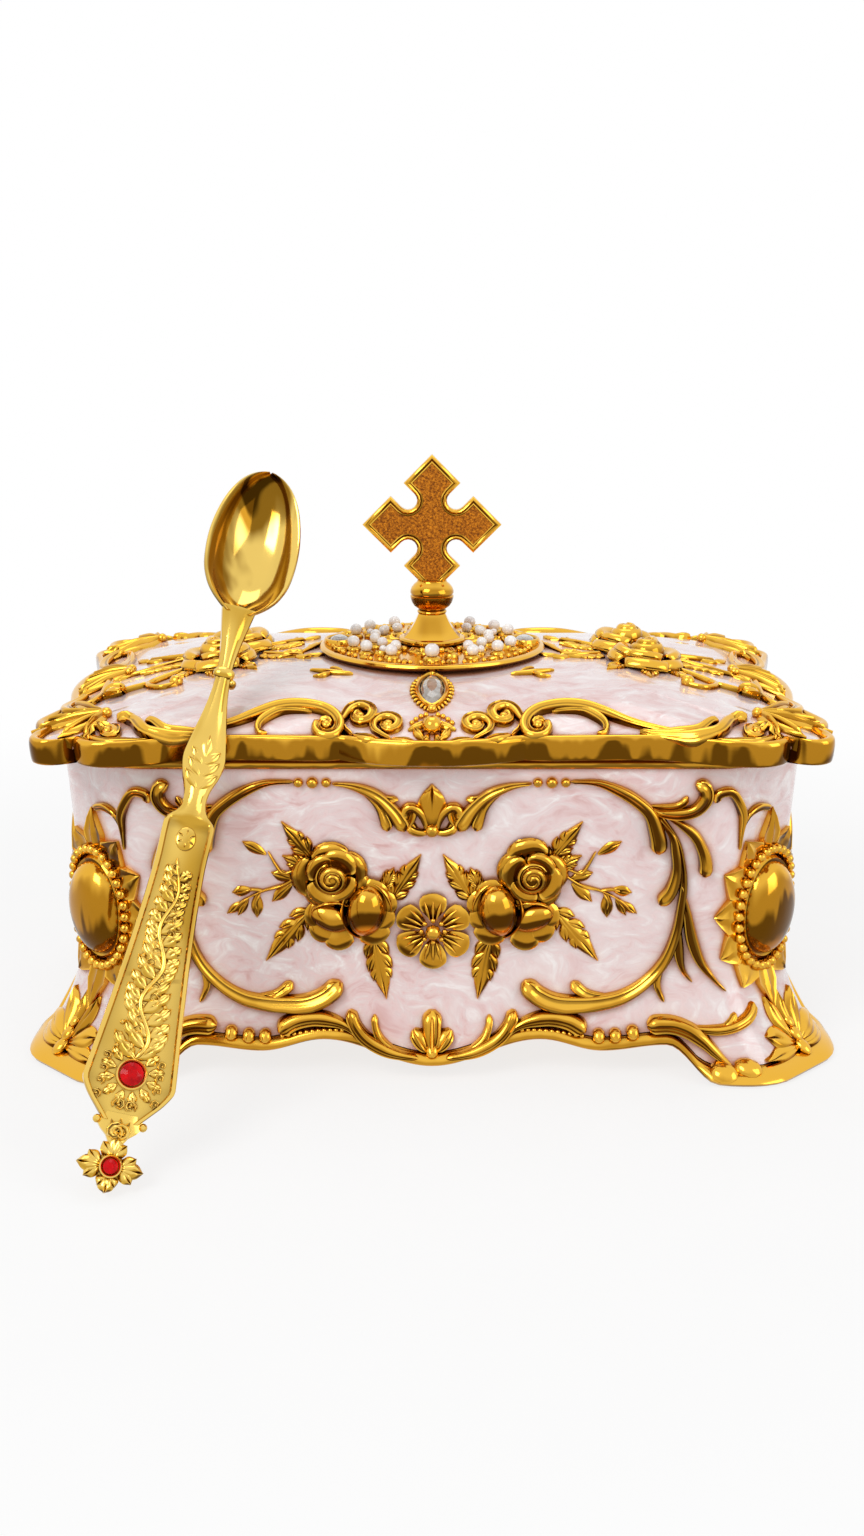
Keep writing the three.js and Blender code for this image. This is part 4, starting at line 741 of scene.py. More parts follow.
def scroll(drawing, points, width, height, section=FLUTED, start=0.4, finish=0.4, flip=1):
    """A raised band along a line, full in its middle, with round ends as wide as start and finish say."""
    path = smooth_path(points)
    width *= SCROLL_FULLNESS
    length = sum((b[0] - a[0]).length for a, b in zip(path, path[1:]))
    rows = []
    last = len(path) - 1
    for i, (point, heading) in enumerate(path):
        share = i / last
        end = start if share < 0.5 else finish
        nearer = min(share, 1 - share)
        swell = lerp(end, 1, ease(nearer / 0.5))
        tip = min(1, nearer * length / (0.5 * width * end))
        swell *= max(0.3, math.sqrt(1 - (1 - tip) ** 2))
        side = left_of(heading) * (flip * width / 2 * swell)
        tall = height * (0.35 + 0.65 * swell)
        rows.append(bedded([Vector((*(point + side * s), rise * tall)) for s, rise in section]))
    drawing.loft(rows)


def ball(drawing, x, y, radius, lift=0.3):
    """A bead: a sphere with its centre a little over the ground of the ornament."""
    rows = []
    for k in range(1, 7):
        angle = math.pi * k / 7 - math.pi / 2
        ring = radius * math.cos(angle)
        z = radius * (lift + math.sin(angle))
        rows.append([Vector((x + p.x, y + p.y, z)) for p, _ in oval(10, ring, ring)])
    drawing.loft(rows)


def volute(drawing, x, y, heading, radius, sense, width, height, turns=1.2):
    """A curl that winds inwards from its mouth to a ball; the mouth is at x, y."""
    start = heading - sense * 90
    centre = Vector((x, y)) - unit(start) * radius
    steps = 16
    points = []
    for i in range(steps + 1):
        share = i / steps
        points.append(centre + unit(start + sense * turns * 360 * share) * (radius * (1 - 0.72 * share)))
    scroll(drawing, points, width, height, start=0.9, finish=0.6)
    ball(drawing, *centre, width * 0.55, 0.6)


def leaf(drawing, x, y, heading, length, width, height, bend=0, lobes=1):
    """A lobed leaf with a sunk midrib. Bend is how far it turns on its way, in degrees."""
    rows = []
    steps = 7 * lobes + 3
    across = [-1, -0.82, -0.6, -0.36, -0.14, 0, 0.14, 0.36, 0.6, 0.82, 1]
    point = Vector((x, y))
    for i in range(steps + 1):
        share = i / steps
        ahead = unit(heading + bend * share)
        if i:
            point = point + ahead * (length / steps)
        side = left_of(ahead)
        wave = abs(math.sin(math.pi * lobes * min(1, share * 0.98))) ** 0.6
        full = math.sin(math.pi * (0.08 + 0.92 * share) ** 0.85) ** 0.8
        half = width / 2 * max(0.04, full * (0.62 + 0.38 * wave))
        crest = height * (0.35 + 0.65 * math.sin(math.pi * (0.15 + 0.8 * share))) * (0.5 + 0.5 * share)
        row = []
        for s in across:
            swept = ahead * (abs(s) ** 1.5 * half * 0.45)
            rib = 0.30 * math.exp(-(s / 0.16) ** 2)
            vein = 0.16 * math.sin(math.pi * lobes * share * 2 + abs(s) * 3.2) * (1 - abs(s)) * 2
            rise = crest * (1 - 0.75 * s * s - rib + vein * 0.5)
            row.append(Vector((*(point + side * (s * half) + swept), max(0.05, rise))))
        row += [Vector((*(point + side * s), BEDDING)) for s in (half, -half)]
        rows.append(row)
    drawing.loft(rows)


def petal(drawing, x, y, low, heading, inner, outer, spread, rise, roll):
    """One petal: a cupped plate from the inner to the outer radius, its rim rolled over."""
    rows = []
    steps = 9
    across = [-1, -0.8, -0.55, -0.28, 0, 0.28, 0.55, 0.8, 1]
    for i in range(steps + 1):
        v = i / steps
        width = 0.5 + 0.5 * math.sin(math.pi * min(1, 0.1 + 0.72 * v))
        top = []
        for u in across:
            ahead = unit(heading + spread / 2 * u * width)
            reach = lerp(inner, outer, v) * (1 - 0.1 * v * u * u)
            z = low + rise * math.sin(math.pi / 2 * min(1, v * 1.2)) - roll * max(0, (v - 0.7) / 0.3) ** 2
            z -= 0.35 * rise * u * u * (1 - 0.5 * v)
            top.append(Vector((x + reach * ahead.x, y + reach * ahead.y, z)))
        bottom = [Vector((c.x, c.y, c.z - PETAL_THICKNESS)) for c in reversed(top)]
        rows.append(top + bottom)
    drawing.loft(rows)


def dome(drawing, x, y, radius_x, radius_y, low, rise, sides=24, turn=0):
    """A closed dome of an oval plan, turned by an angle in radians."""
    rows = []
    for k in range(7):
        angle = math.pi / 2 * k / 6.4
        row = []
        for p, _ in oval(sides, radius_x * math.cos(angle), radius_y * math.cos(angle)):
            across = p.x * math.cos(turn) - p.y * math.sin(turn)
            along = p.x * math.sin(turn) + p.y * math.cos(turn)
            row.append(Vector((x + across, y + along, low + rise * math.sin(angle))))
        rows.append(row)
    drawing.loft([[Vector((c.x, c.y, low - 0.6)) for c in rows[0]]] + rows)


def on_dome(place, x, y, size):
    """Share of a dome's height over a place in its plan."""
    away = ((place.x - x) ** 2 + (place.y - y) ** 2) / size ** 2
    return math.sqrt(max(0.1, 1 - 0.92 * away)) - 0.06


def rose(drawing, x, y, radius, turn=0, rise=1.0):
    """An open rose: broad outer petals with rolled rims, folded inner ones and a round wound heart."""
    dome(drawing, x, y, radius * 0.74, radius * 0.74, 0, 1.2 * rise)
    whorls = [(5, 0.30, 1.0, 84, 0.1, 1.8, 1.0), (4, 0.22, 0.76, 100, 1.0, 1.8, 0.7)]
    for k, (count, inner, outer, spread, low, high, roll) in enumerate(whorls):
        for i in range(count):
            heading = 360 * i / count + turn + 43 * k + (9 if i % 2 else -7)
            reach = radius * outer * (1.05 if i % 2 else 0.94)
            petal(drawing, x, y, low * rise, heading, radius * inner, reach, spread, high * rise, roll * rise)
    size = radius * 0.47
    top = 3.9 * rise
    dome(drawing, x, y, size, size, 0, top, 28)
    line = []
    for k in range(24):
        line.append(Vector((x, y)) + unit(turn + 38 * k) * (size * lerp(0.98, 0.12, k / 23)))
    heart = Drawing()
    scroll(heart, line, radius * 0.12, 0.75, ROUND, 0.8, 0.8)
    drawing.merge(heart.moved(lambda c: Vector((c.x, c.y, c.z + top * on_dome(c, x, y, size)))))


def bud(drawing, x, y, heading, length):
    """A closed rosebud hugged by three petals, its tip along the heading."""
    dome(drawing, x, y, length * 0.5, length * 0.34, 1.2, length * 0.36, 20, math.radians(heading))
    root = Vector((x, y)) - unit(heading) * length * 0.55
    for offset, outer, rise in ((-34, 1.05, 1.9), (34, 1.05, 1.9), (0, 0.8, 2.3)):
        petal(drawing, *root, 0.4, heading + offset, length * 0.1, length * outer, 62, rise, 0.5)


def ribbed_flower(drawing, x, y, radius):
    """Six petals, each with raised ribs, round a ball."""
    middle = Vector((x, y))
    ribs = Drawing()
    for _, heading in oval(6, radius, radius, 90):
        petal(drawing, x, y, 0.3, heading, radius * 0.25, radius, 56, 1.3, 0.35)
        for offset in (-15, 0, 15):
            line = [middle + unit(heading + offset) * (radius * share) for share in (0.32, 0.58, 0.82)]
            scroll(ribs, line, 0.7, 0.7, ROUND)
    drawing.merge(ribs.raised(1.25))
    for place, _ in oval(8, 2.3, 2.3):
        ball(drawing, *(middle + place), 0.55, 2.6)
    ball(drawing, x, y, 1.6, 1.2)


# Ornament of the walls

FRONT_SCALE = 4.9
FRONT_FOOT_PIXEL = 1070
MEDALLION_HEIGHT = 32
MEDALLION_NEARER = 1.0
FOOT_LEAVES_NEARER = 3.2
END_OVAL = Vector((9, 36))
END_OVAL_REACH = Vector((14, 18))
CREST_HEIGHT = 57
ROSE_HEIGHT = 38


def on_front(pixel):
    """Run and height on the front wall at a pixel."""
    guess = ((pixel[0] - PICTURE_MIDDLE.x) / FRONT_SCALE, (FRONT_FOOT_PIXEL - pixel[1]) / FRONT_SCALE)
    return found_on(lambda run, height: wall_point(run, height, 0), pixel, guess)


def front_line(pixels):
    return [on_front(pixel) for pixel in pixels]


def mirrored(points):
    return [(-x, y) for x, y in points]


def both(drawing, points, width, height, **more):
    """The same scroll on the right and, mirrored, on the left."""
    scroll(drawing, points, width, height, **more)
    scroll(drawing, mirrored(points), width, height, flip=-1, **more)


def fleur(drawing, y):
    """An upright leaf between two pairs of curled ones, on a knot."""
    leaf(drawing, 0, y, 90, 10.2, 5.6, 2.2)
    curl = [(0.8, 0.6), (2.0, 4.0), (4.0, 5.6), (5.4, 4.6), (5.0, 3.0)]
    foot = [(0.6, 0.4), (2.4, 0.2), (4.2, 0.9), (4.4, 2.0)]
    for side in (1, -1):
        for line, width, height, start, finish in ((curl, 1.6, 1.6, 0.6, 1.1), (foot, 1.5, 1.4, 0.7, 1.0)):
            points = [(side * x, y + rise) for x, rise in line]
            scroll(drawing, points, width, height, ROUND, start, finish, side)
    ball(drawing, 0, y + 0.8, 1.5, 0.4)


def trefoil(drawing, y):
    """Three round lobes, each with a raised edge and a spine, on a knot."""
    for side in (1, -1):
        lobe = [(side * 0.9, y + 0.5), (side * 2.3, y + 2.3), (side * 3.7, y + 4.4)]
        scroll(drawing, lobe, 2.5, 1.5, FLUTED, 0.5, 1.15, side)
        scroll(drawing, lobe, 0.7, 1.9, ROUND, 0.8, 0.8, side)
    scroll(drawing, [(0, y + 0.4), (0, y + 4.2), (0, y + 8.0)], 3.2, 1.9, FLUTED, 0.5, 1.1)
    scroll(drawing, [(0, y + 0.4), (0, y + 4.0), (0, y + 7.4)], 0.9, 2.5, ROUND, 0.9, 0.8)
    ball(drawing, 0, y + 0.9, 1.4, 0.4)


def strokes(drawing, table):
    """Strokes of the front wall and their mirror images, each as (pixels, width, start, finish)."""
    for pixels, width, start, finish in table:
        both(drawing, front_line(pixels), width, 0.75 * width + 0.2, start=start, finish=finish)


def beads(drawing, table):
    """Beads of the front wall and their mirror images, each as (pixel x, pixel y, radius, lift)."""
    for x, y, radius, lift in table:
        run, height = on_front((x, y))
        for side in (1, -1):
            ball(drawing, side * run, height, radius, lift)


def front_frame():
    """The C-scrolls that frame a long wall, every branch ending in a round tip."""
    drawing = Drawing()
    strokes(drawing, (
        ([(571, 782), (597, 783), (619, 791), (636, 801), (650, 814), (656.5, 832), (659, 846), (658.5, 854)],
         2.0, 0.35, 1.45),
        ([(655, 815), (671.7, 835), (675.8, 852), (677, 871), (671.7, 890), (664, 900), (660, 905)],
         1.7, 0.35, 1.45),
        ([(660, 815), (677, 840), (682.7, 863), (684, 885), (681, 909), (677, 931), (669, 953), (658, 970),
          (641, 986), (622, 997), (603, 1002), (581, 1004), (556, 1003), (537, 995), (523, 982)],
         1.85, 0.4, 1.75),
        ([(618, 996), (600, 997), (586, 994), (576, 987), (572, 982)], 1.5, 0.35, 1.35),
        ([(662, 813), (691, 832), (702, 849), (706, 865), (704.5, 877)], 1.8, 0.35, 1.35),
        ([(681, 885), (687, 912), (692, 940), (700.6, 962), (713, 978), (726, 991)], 2.1, 0.4, 0.25),
        ([(678, 915), (678.6, 951), (683, 970), (692, 982)], 1.8, 0.5, 0.25),
        ([(669, 950), (660, 968), (657, 985), (664, 1002)], 1.5, 0.5, 0.5),
        ([(640, 803), (660, 813), (680, 814.4), (696.5, 810), (706, 799), (705, 788), (696, 783.5)],
         2.1, 0.3, 1.2),
        ([(650, 806), (671, 807.5), (682.7, 804), (688, 797)], 1.2, 0.4, 1.0),
        ([(716, 803), (719, 794.5), (731, 792), (739, 802), (743.3, 816), (742, 832), (740.5, 850)],
         1.6, 1.0, 0.25),
        ([(743, 830), (750, 814.5), (760, 807), (770.5, 807.5)], 1.3, 0.4, 1.0),
    ))
    return drawing


def crown_and_swag():
    """The small scrolls that meet over the front bouquet, with a crown of leaves between them."""
    drawing = Drawing()
    strokes(drawing, (
        ([(532, 784), (510, 787), (488, 796), (472, 810), (463, 823), (459, 831)], 2.0, 0.35, 1.35),
        ([(505, 791), (488, 803), (480, 818), (476, 831)], 1.5, 0.35, 1.4),
        ([(497, 793), (478, 799), (466, 800)], 1.2, 0.4, 1.0),
        ([(458, 828), (452, 820), (451, 812), (456, 806)], 1.3, 0.8, 1.0),
    ))
    beads(drawing, ((538, 783, 1.0, 0.3), (552, 783, 1.2, 0.3), (566, 783, 1.0, 0.3)))
    _, height = on_front((435, 834))
    fleur(drawing, height)
    for side in (1, -1):
        leaf(drawing, side * 2.6, height + 0.6, 90 - side * 62, 6.2, 2.8, 1.5, bend=side * 30)
    return drawing


def festoon():
    """A low garland between the back wall's scrolls, clear of the hinges."""
    drawing = Drawing()
    both(drawing, [(27, 13.6), (20, 15.8), (10, 18), (0.6, 18.8)], 2.2, 1.5, start=0.4, finish=0.8)
    for heading in (60, 90, 120):
        leaf(drawing, 0, 18.5, heading, 8, 3.0, 1.5)
    ball(drawing, 0, 18.4, 1.3)
    return drawing


def notched_leaf(drawing, x, y, heading, length, width, height=1.2):
    """A leaf with pointed teeth: pairs of leaflets along a broad midrib, and one at the tip."""
    root = Vector((x, y))
    ahead = unit(heading) * length
    for share, size in ((0.05, 0.72), (0.26, 0.74), (0.48, 0.56)):
        for side in (1, -1):
            turned = heading + side * 40
            leaf(drawing, *(root + ahead * share), turned, width * size, width * 0.36, height, side * -14)
    leaf(drawing, *(root + ahead * 0.12), heading, length * 0.88, width * 0.56, height * 1.1)


def spray_leaf(drawing, root, tip, width, height=1.2, notched=True):
    """A leaf between two pixels of the front wall, with its mirror image."""
    (x0, y0), (x1, y1) = on_front(root), on_front(tip)
    heading = math.degrees(math.atan2(y1 - y0, x1 - x0))
    length = math.hypot(x1 - x0, y1 - y0)
    for x, turn in ((x0, heading), (-x0, 180 - heading)):
        if notched:
            notched_leaf(drawing, x, y0, turn, length, width, height)
        else:
            leaf(drawing, x, y0, turn, length, width, height)


def opening_bud(drawing, x, y, side):
    """A big half-open bud: a smooth oval wrapped in petals, and a folded one beside it on the side given."""
    beside = x + side * 7.0
    main_petals = ((112, 6.6, 70), (160, 6.4, 66), (208, 6.2, 66), (252, 7.6, 70))
    folded_petals = ((262, 7.2, 66), (312, 6.4, 66), (2, 6.2, 70))
    for petals, root, inner, high in (
        (main_petals, (x, y), 1.0, 1.7), (folded_petals, (beside - side, y - 1.4), 0.8, 1.6),
    ):
        for heading, outer, spread in petals:
            heading = heading if side > 0 else 180 - heading
            petal(drawing, *root, 0.1, heading, inner, outer, spread, high, 0.6)
    dome(drawing, beside, y - 1.6, 4.4, 2.9, 0.6, 2.9, 24, side * 0.42)
    dome(drawing, x, y, 4.1, 5.5, 0.8, 4.4, 30, side * 0.16)
    for centre, start, end, wide, high, tall in (
        ((x, y), 68, -80, 4.7, 5.9, 3.1), ((x, y), 96, 190, 5.0, 5.9, 2.3),
        ((beside - side * 0.4, y - 1.2), 150, 8, 4.3, 3.2, 3.1),
    ):
        line = []
        for k in range(9):
            ahead = unit(lerp(start, end, k / 8))
            line.append((centre[0] + side * wide * ahead.x, centre[1] + high * ahead.y))
        scroll(drawing, line, 0.9, tall, ROUND, 0.5, 0.5)


def front_roses():
    """The bouquet of the front wall: two roses, two half-open buds, a ribbed flower and their leaves."""
    drawing = Drawing()
    for root, tip, width in (
        ((546, 866), (583, 822), 5.0), ((550, 872), (582, 856), 4.4), ((552, 908), (598, 961), 6.0),
        ((491, 936), (477.5, 999), 6.2), ((474, 902), (443, 855), 5.4), ((480, 890), (470, 868), 3.6),
    ):
        spray_leaf(drawing, root, tip, width)
    x, y = on_front((532, 876))
    for side, turn in ((1, 20), (-1, 100)):
        rose(drawing, side * x, y, 7.7, turn)
    x, y = on_front((498, 909))
    for side in (1, -1):
        opening_bud(drawing, side * x, y, side)
    ribbed_flower(drawing, *on_front((433, 930)), 7.9)
    for pixels in (
        [(560, 872), (580, 885), (600, 891), (616, 898)], [(600, 891), (612, 890), (622, 892)],
        [(604, 894), (608, 903), (607, 910)], [(566, 868), (580, 874), (588, 866), (596, 852)],
        [(614, 897), (624, 904), (632, 912)],
    ):
        both(drawing, front_line(pixels), 0.6, 0.8, section=ROUND, start=0.8, finish=0.6)
    for root, tip, width in (
        ((598, 855), (622, 842), 2.2), ((570, 880), (593, 873), 2.4), ((572, 884), (592, 902), 2.4),
        ((612, 890), (632, 893), 2.2), ((607, 894), (607, 918), 2.4), ((620, 902), (637, 914), 1.8),
        ((616, 900), (626, 916), 1.6),
    ):
        spray_leaf(drawing, root, tip, width, 0.9, False)
    return drawing


def edge_garland():
    """Scrolls that follow a long wall's scalloped edge, beads over its arch and a trefoil on the drop."""
    drawing = Drawing()
    strokes(drawing, (
        ([(446, 1058), (462, 1055.5), (479, 1050), (498, 1039), (509, 1025), (514, 1010)], 2.0, 0.5, 1.1),
        ([(506, 1036), (516, 1027), (530, 1020.5), (548, 1017.5), (567, 1020), (579, 1026), (585, 1032)],
         2.3, 0.35, 1.25),
        ([(464, 1053), (481.6, 1042), (488.5, 1028), (489.3, 1015)], 1.3, 0.35, 0.9),
        ([(647, 1025), (669, 1024), (688, 1030), (705, 1042), (721, 1058), (736, 1072)], 2.5, 1.1, 0.3),
        ([(676, 1024), (702, 1029.5), (724, 1029.5), (743, 1022), (752, 1011), (753.5, 1002)], 1.5, 0.3, 1.0),
        ([(720, 1029), (731, 1023), (736, 1013)], 1.0, 0.4, 0.9),
        ([(716, 1062), (728, 1072), (744, 1077), (762, 1077), (782, 1072), (796, 1066)], 1.7, 0.6, 0.6),
    ))
    beads(drawing, (
        (598.7, 1035, 1.35, 0.5), (615.2, 1034.5, 1.35, 0.5), (632.6, 1031.5, 1.4, 0.5),
        (747, 1067, 1.6, 0.5), (722, 1071, 1.9, 0.5),
    ))
    shares = [k / 10 for k in range(11)]
    beads(drawing, [(lerp(522, 582, share), lerp(1030, 1036, share ** 2), 0.5, 0.3) for share in shares])
    trefoil(drawing, APRON[0][1] + 2.1)
    return drawing


PETAL_EDGE = 0.02
PETAL_SECTION = [
    (-1, 0), (-0.94, 0.95), (-0.8, 0.85), (-0.4, 0.75), (0, 1.1),
    (0.4, 0.75), (0.8, 0.85), (0.94, 0.95), (1, 0),
]


def medallion():
    """Pointed petals round an oval plate with a ring of beads; the dome is a piece of its own."""
    drawing = Drawing()
    for _, heading in oval(12, 1, 1):
        upright = heading in (90, 270)
        out = unit(heading)
        root = Vector((9.2 * out.x, 11.8 * out.y))
        tip = Vector((15.2 * out.x, (21.0 if upright else 17.6) * out.y))
        side = left_of((tip - root).normalized()) * (2.9 if upright else 3.9)
        rows = []
        for share, wide, rise in ((0, 0.9, 1.0), (0.42, 1.0, 1.3), (0.74, 0.5, 1.2), (1, 0.04, 0.7)):
            centre = root.lerp(tip, share)
            section = [(centre + side * (s * wide), max(PETAL_EDGE, z * rise)) for s, z in PETAL_SECTION]
            rows.append(bedded([Vector((*place, z)) for place, z in section]))
        drawing.loft(rows)
    dome(drawing, 0, 0, 10.6, 13.2, 0, 0.9, 40)
    for place, _ in oval(32, 9.4, 12.2):
        ball(drawing, *place, 1.05, 1.35)
    return drawing


def cabochon():
    """The smooth oval dome of a medallion, in a low collar."""
    return lofted([
        [Vector((*p, rise)) for p, _ in oval(48, 7.5 * share, 10.0 * share)]
        for share, rise in (
            (1.06, 0.4), (1.08, 1.2), (1.03, 1.75), (0.98, 1.6), (0.965, 1.9), (0.93, 2.7), (0.86, 3.5),
            (0.75, 4.3), (0.6, 4.95), (0.42, 5.35), (0.22, 5.6), (0.05, 5.7),
        )
    ])


def foot_leaves():
    """Acanthus over a corner foot: leaves that spread from a knot on the toe and rise along it."""
    drawing = Drawing()
    low = TOE_BAND + 2.0
    for side in (1, -1):
        for x, y, heading, length, width, height, bend in (
            (1.2, 0.6, 26, 8.6, 3.8, 2.0, 8), (1.4, -0.2, 66, 7.4, 4.2, 2.0, -8),
            (1.0, -1.2, 88, 9.5, 2.8, 1.7, -4),
        ):
            leaf(drawing, side * x, low + y, 90 - side * heading, length, width, height, side * bend)
    leaf(drawing, 0, low + 1.5, 90, 7.5, 3.0, 1.9)
    for k in range(3):
        ball(drawing, 0, low - 1.2 + 2.2 * k, 1.5 - 0.2 * k, 0.5)
    return drawing


def end_wall():
    """The oval frame of an end wall, with branches and a crest of leaves and beads above."""
    drawing = Drawing()
    ring = []
    for degrees in range(86, -86, -12):
        out = unit(degrees)
        ring.append(END_OVAL + Vector((END_OVAL_REACH.x * out.x, END_OVAL_REACH.y * out.y)))
    for points, width, height, start, finish in (
        (ring + [(6, 18.0), (2.4, 21)], 2.2, 1.8, 0.4, 1.0),
        ([(0.6, 55.4), (5, 57.4), (10, 56.2), (14, 51.6)], 1.8, 1.5, 0.8, 0.3),
        ([(19, 51), (22, 47), (24.5, 40), (24, 34)], 1.6, 1.4, 0.3, 1.0),
        ([(22.6, 30), (22, 24), (24.5, 18)], 1.6, 1.4, 0.3, 0.6),
        ([(14, 20), (9, 16), (3, 14.4)], 1.5, 1.3, 0.3, 1.0),
    ):
        both(drawing, points, width, height, start=start, finish=finish)
    for heading in (-50, -90, -130):
        leaf(drawing, 0, CREST_HEIGHT, heading, 7.6, 3.2, 1.7)
    for x in (0, 2.6, -2.6):
        ball(drawing, x, CREST_HEIGHT + 0.2, 1.2)
    return drawing


def end_rose():
    drawing = Drawing()
    middle = Vector((0, ROSE_HEIGHT))
    for heading in (20, 70, 118, 165, 215, 270, 325):
        notched_leaf(drawing, *(middle + unit(heading) * 4.5), heading, 9, 4.4)
    rose(drawing, *middle, 7.0, 15)
    return drawing


def lay_on_wall(drawing, run=0.0, up=0.0):
    """Moves a flat drawing on to the wall, round it by run and up by a height."""
    return drawing.moved(lambda c: wall_point(run + c.x, c.y + up, c.z - ENAMEL_SINK))


def dress_body():
    body_casting().piece("body_shell", "box", "body_casting")
    body_enamel().piece("wall_enamel", "box", "body_enamel", "pink_enamel", smooth=60)
    for wall, run, link in (("front", 0.0, crown_and_swag()), ("back", BACK_RUN, festoon())):
        flat = front_frame()
        flat.merge(link)
        lay_on_wall(flat, run).piece(f"{wall}_scrolls", "box", f"{wall}_frame")
    lay_on_wall(front_roses()).piece("front_bouquet", "box", "front_roses", smooth=50)
    lay_on_wall(edge_garland()).piece("front_edge_scrolls", "box", "front_garland")
    lay_on_wall(edge_garland(), BACK_RUN).piece("back_edge_scrolls", "box")
    for side, run in (("right", QUARTER_RUN), ("left", -QUARTER_RUN)):
        lay_on_wall(end_wall(), run).piece(f"{side}_scrolls", "box", f"{side}_frame")
        lay_on_wall(end_rose(), run).piece(f"{side}_bloom", "box", f"{side}_roses", smooth=50)
    for wall, way in (("front", -1), ("back", 1)):
        for side, sign in (("right", 1), ("left", -1)):
            dress_corner(f"{wall}_{side}", sign, way)


def dress_corner(corner, sign, way):
    """A medallion, its dome and the foot's leaves, each a little nearer to the end wall than the corner."""
    def run(nearer):
        return sign * (QUARTER_RUN + way * (QUARTER_RUN - CORNER_RUN - nearer))

    place = run(MEDALLION_NEARER)
    petals = lay_on_wall(medallion(), place, MEDALLION_HEIGHT)
    petals.piece(f"rosette_{corner}", "box", f"medallion_{corner}", smooth=35)
    boss = lay_on_wall(cabochon(), place, MEDALLION_HEIGHT)
    boss.piece(f"boss_{corner}", "box", f"cabochon_{corner}", finish=SMOOTH_GOLD, smooth=50)
    toe = lay_on_wall(foot_leaves(), run(FOOT_LEAVES_NEARER))
    toe.piece(f"acanthus_{corner}", "box", f"foot_leaf_{corner}")


# Surface of the lid

def bezier(points, count):
    """Points on a quadratic or cubic curve, the first one left out."""
    result = []
    for i in range(1, count + 1):
        layer = [Vector(p) for p in points]
        while len(layer) > 1:
            layer = [a.lerp(b, i / count) for a, b in zip(layer, layer[1:])]
        result.append(layer[0])
    return result


def arc(centre_x, centre_y, radius, start, end, count):
    turns = [lerp(start, end, i / count) for i in range(count + 1)]
    return [Vector((centre_x + radius * math.cos(t), centre_y + radius * math.sin(t))) for t in turns]


def lid_quarter():
    w, d = LID_HALF_WIDTH, LID_HALF_DEPTH
    long_radius = (FRONT_LOBE_HALF ** 2 + FRONT_LOBE_DEPTH ** 2) / (2 * FRONT_LOBE_DEPTH)
    short_radius = (SIDE_LOBE_HALF ** 2 + SIDE_LOBE_DEPTH ** 2) / (2 * SIDE_LOBE_DEPTH)
    long_swing = math.asin(FRONT_LOBE_HALF / long_radius)
    short_swing = math.asin(SIDE_LOBE_HALF / short_radius)
    side_peak = w - SIDE_LOBE_INSET
    side_lobe_end = (side_peak - SIDE_LOBE_DEPTH, SIDE_LOBE_HALF)
    line = arc(0, d - 0.5 - long_radius, long_radius, math.pi / 2, math.pi / 2 - long_swing, 12)
    for stops, count in (
        ([line[-1], (FRONT_LOBE_HALF + 5, d - 3.5), (w - 46, d - 6), (w - 35, d - 5.2)], 14),
        ([(w - 35, d - 5.2), (w - 28, d - 4.4), (w - 23, d), (w - 16, d)], 12),
        ([(w - 16, d), (w - 11.5, d), (w - 9.4, d - 4.6)], 8),
        ([(w - 9.4, d - 4.6), (w - 5, d + 1.5), (w + 2.6, d - 3), (w - 2.6, d - 12.5)], 14),
        ([(w - 2.6, d - 12.5), (w + 1.2, d - 16), (w, d - 20)], 8),
        ([(w, d - 20), (w - 1.5, d - 26), (w - 3.4, d - 30), side_lobe_end], 10),
    ):
        line += bezier([Vector(p) for p in stops], count)
    line += arc(side_peak - short_radius, 0, short_radius, short_swing, 0, 10)[1:]
    return line


def flipped(points, x, y):
    return [Vector((p.x * x, p.y * y)) for p in points]


def lid_outline():
    """The quarter from the front's middle to the right end's, laid round the whole lid."""
    quarter = lid_quarter()
    inner = quarter[1:-1]
    return (flipped(quarter, 1, -1) + flipped(reversed(inner), 1, 1) + flipped(quarter[:1], 1, 1)
            + flipped(inner, -1, 1) + flipped(quarter[-1:], -1, 1) + flipped(reversed(inner), -1, -1))


NEIGHBOURS = 6
HALVINGS = 22
OUTLINE = lid_outline()
OUTLINE_ANGLES = [math.atan2(p.y, p.x) for p in OUTLINE]
START_ANGLE = OUTLINE_ANGLES[0]
OUTLINE_TURNS = [(a - START_ANGLE) % (2 * math.pi) for a in OUTLINE_ANGLES] + [2 * math.pi]


def outline_radius(x, y):
    """Distance from the lid's middle to its outline in the direction of a point."""
    turn = (math.atan2(y, x) - START_ANGLE) % (2 * math.pi)
    low, high = 0, len(OUTLINE)
    while high - low > 1:
        middle = (low + high) // 2
        if OUTLINE_TURNS[middle] <= turn:
            low = middle
        else:
            high = middle
    a, b = OUTLINE[low], OUTLINE[(low + 1) % len(OUTLINE)]
    length = math.hypot(x, y) or 1
    dx, dy = x / length, y / length
    ex, ey = b.x - a.x, b.y - a.y
    area = dx * ey - dy * ex
    return (a.x * ey - a.y * ex) / area if abs(area) > 1e-9 else a.length


def oblong_radius(x, y, half_width, half_depth):
    length = math.hypot(x, y) or 1
    return (abs(x / length / half_width) ** 4 + abs(y / length / half_depth) ** 4) ** -0.25


def widened(smooth, outline, share):
    """Radius of a ring that passes from a smooth oblong in the middle to the outline at the rim."""
    return share * lerp(smooth, outline, share ** 3)


def ring_radius(x, y, share):
    smooth = oblong_radius(x, y, DOME_HALF_WIDTH, DOME_HALF_DEPTH)
    return widened(smooth, outline_radius(x, y), share)


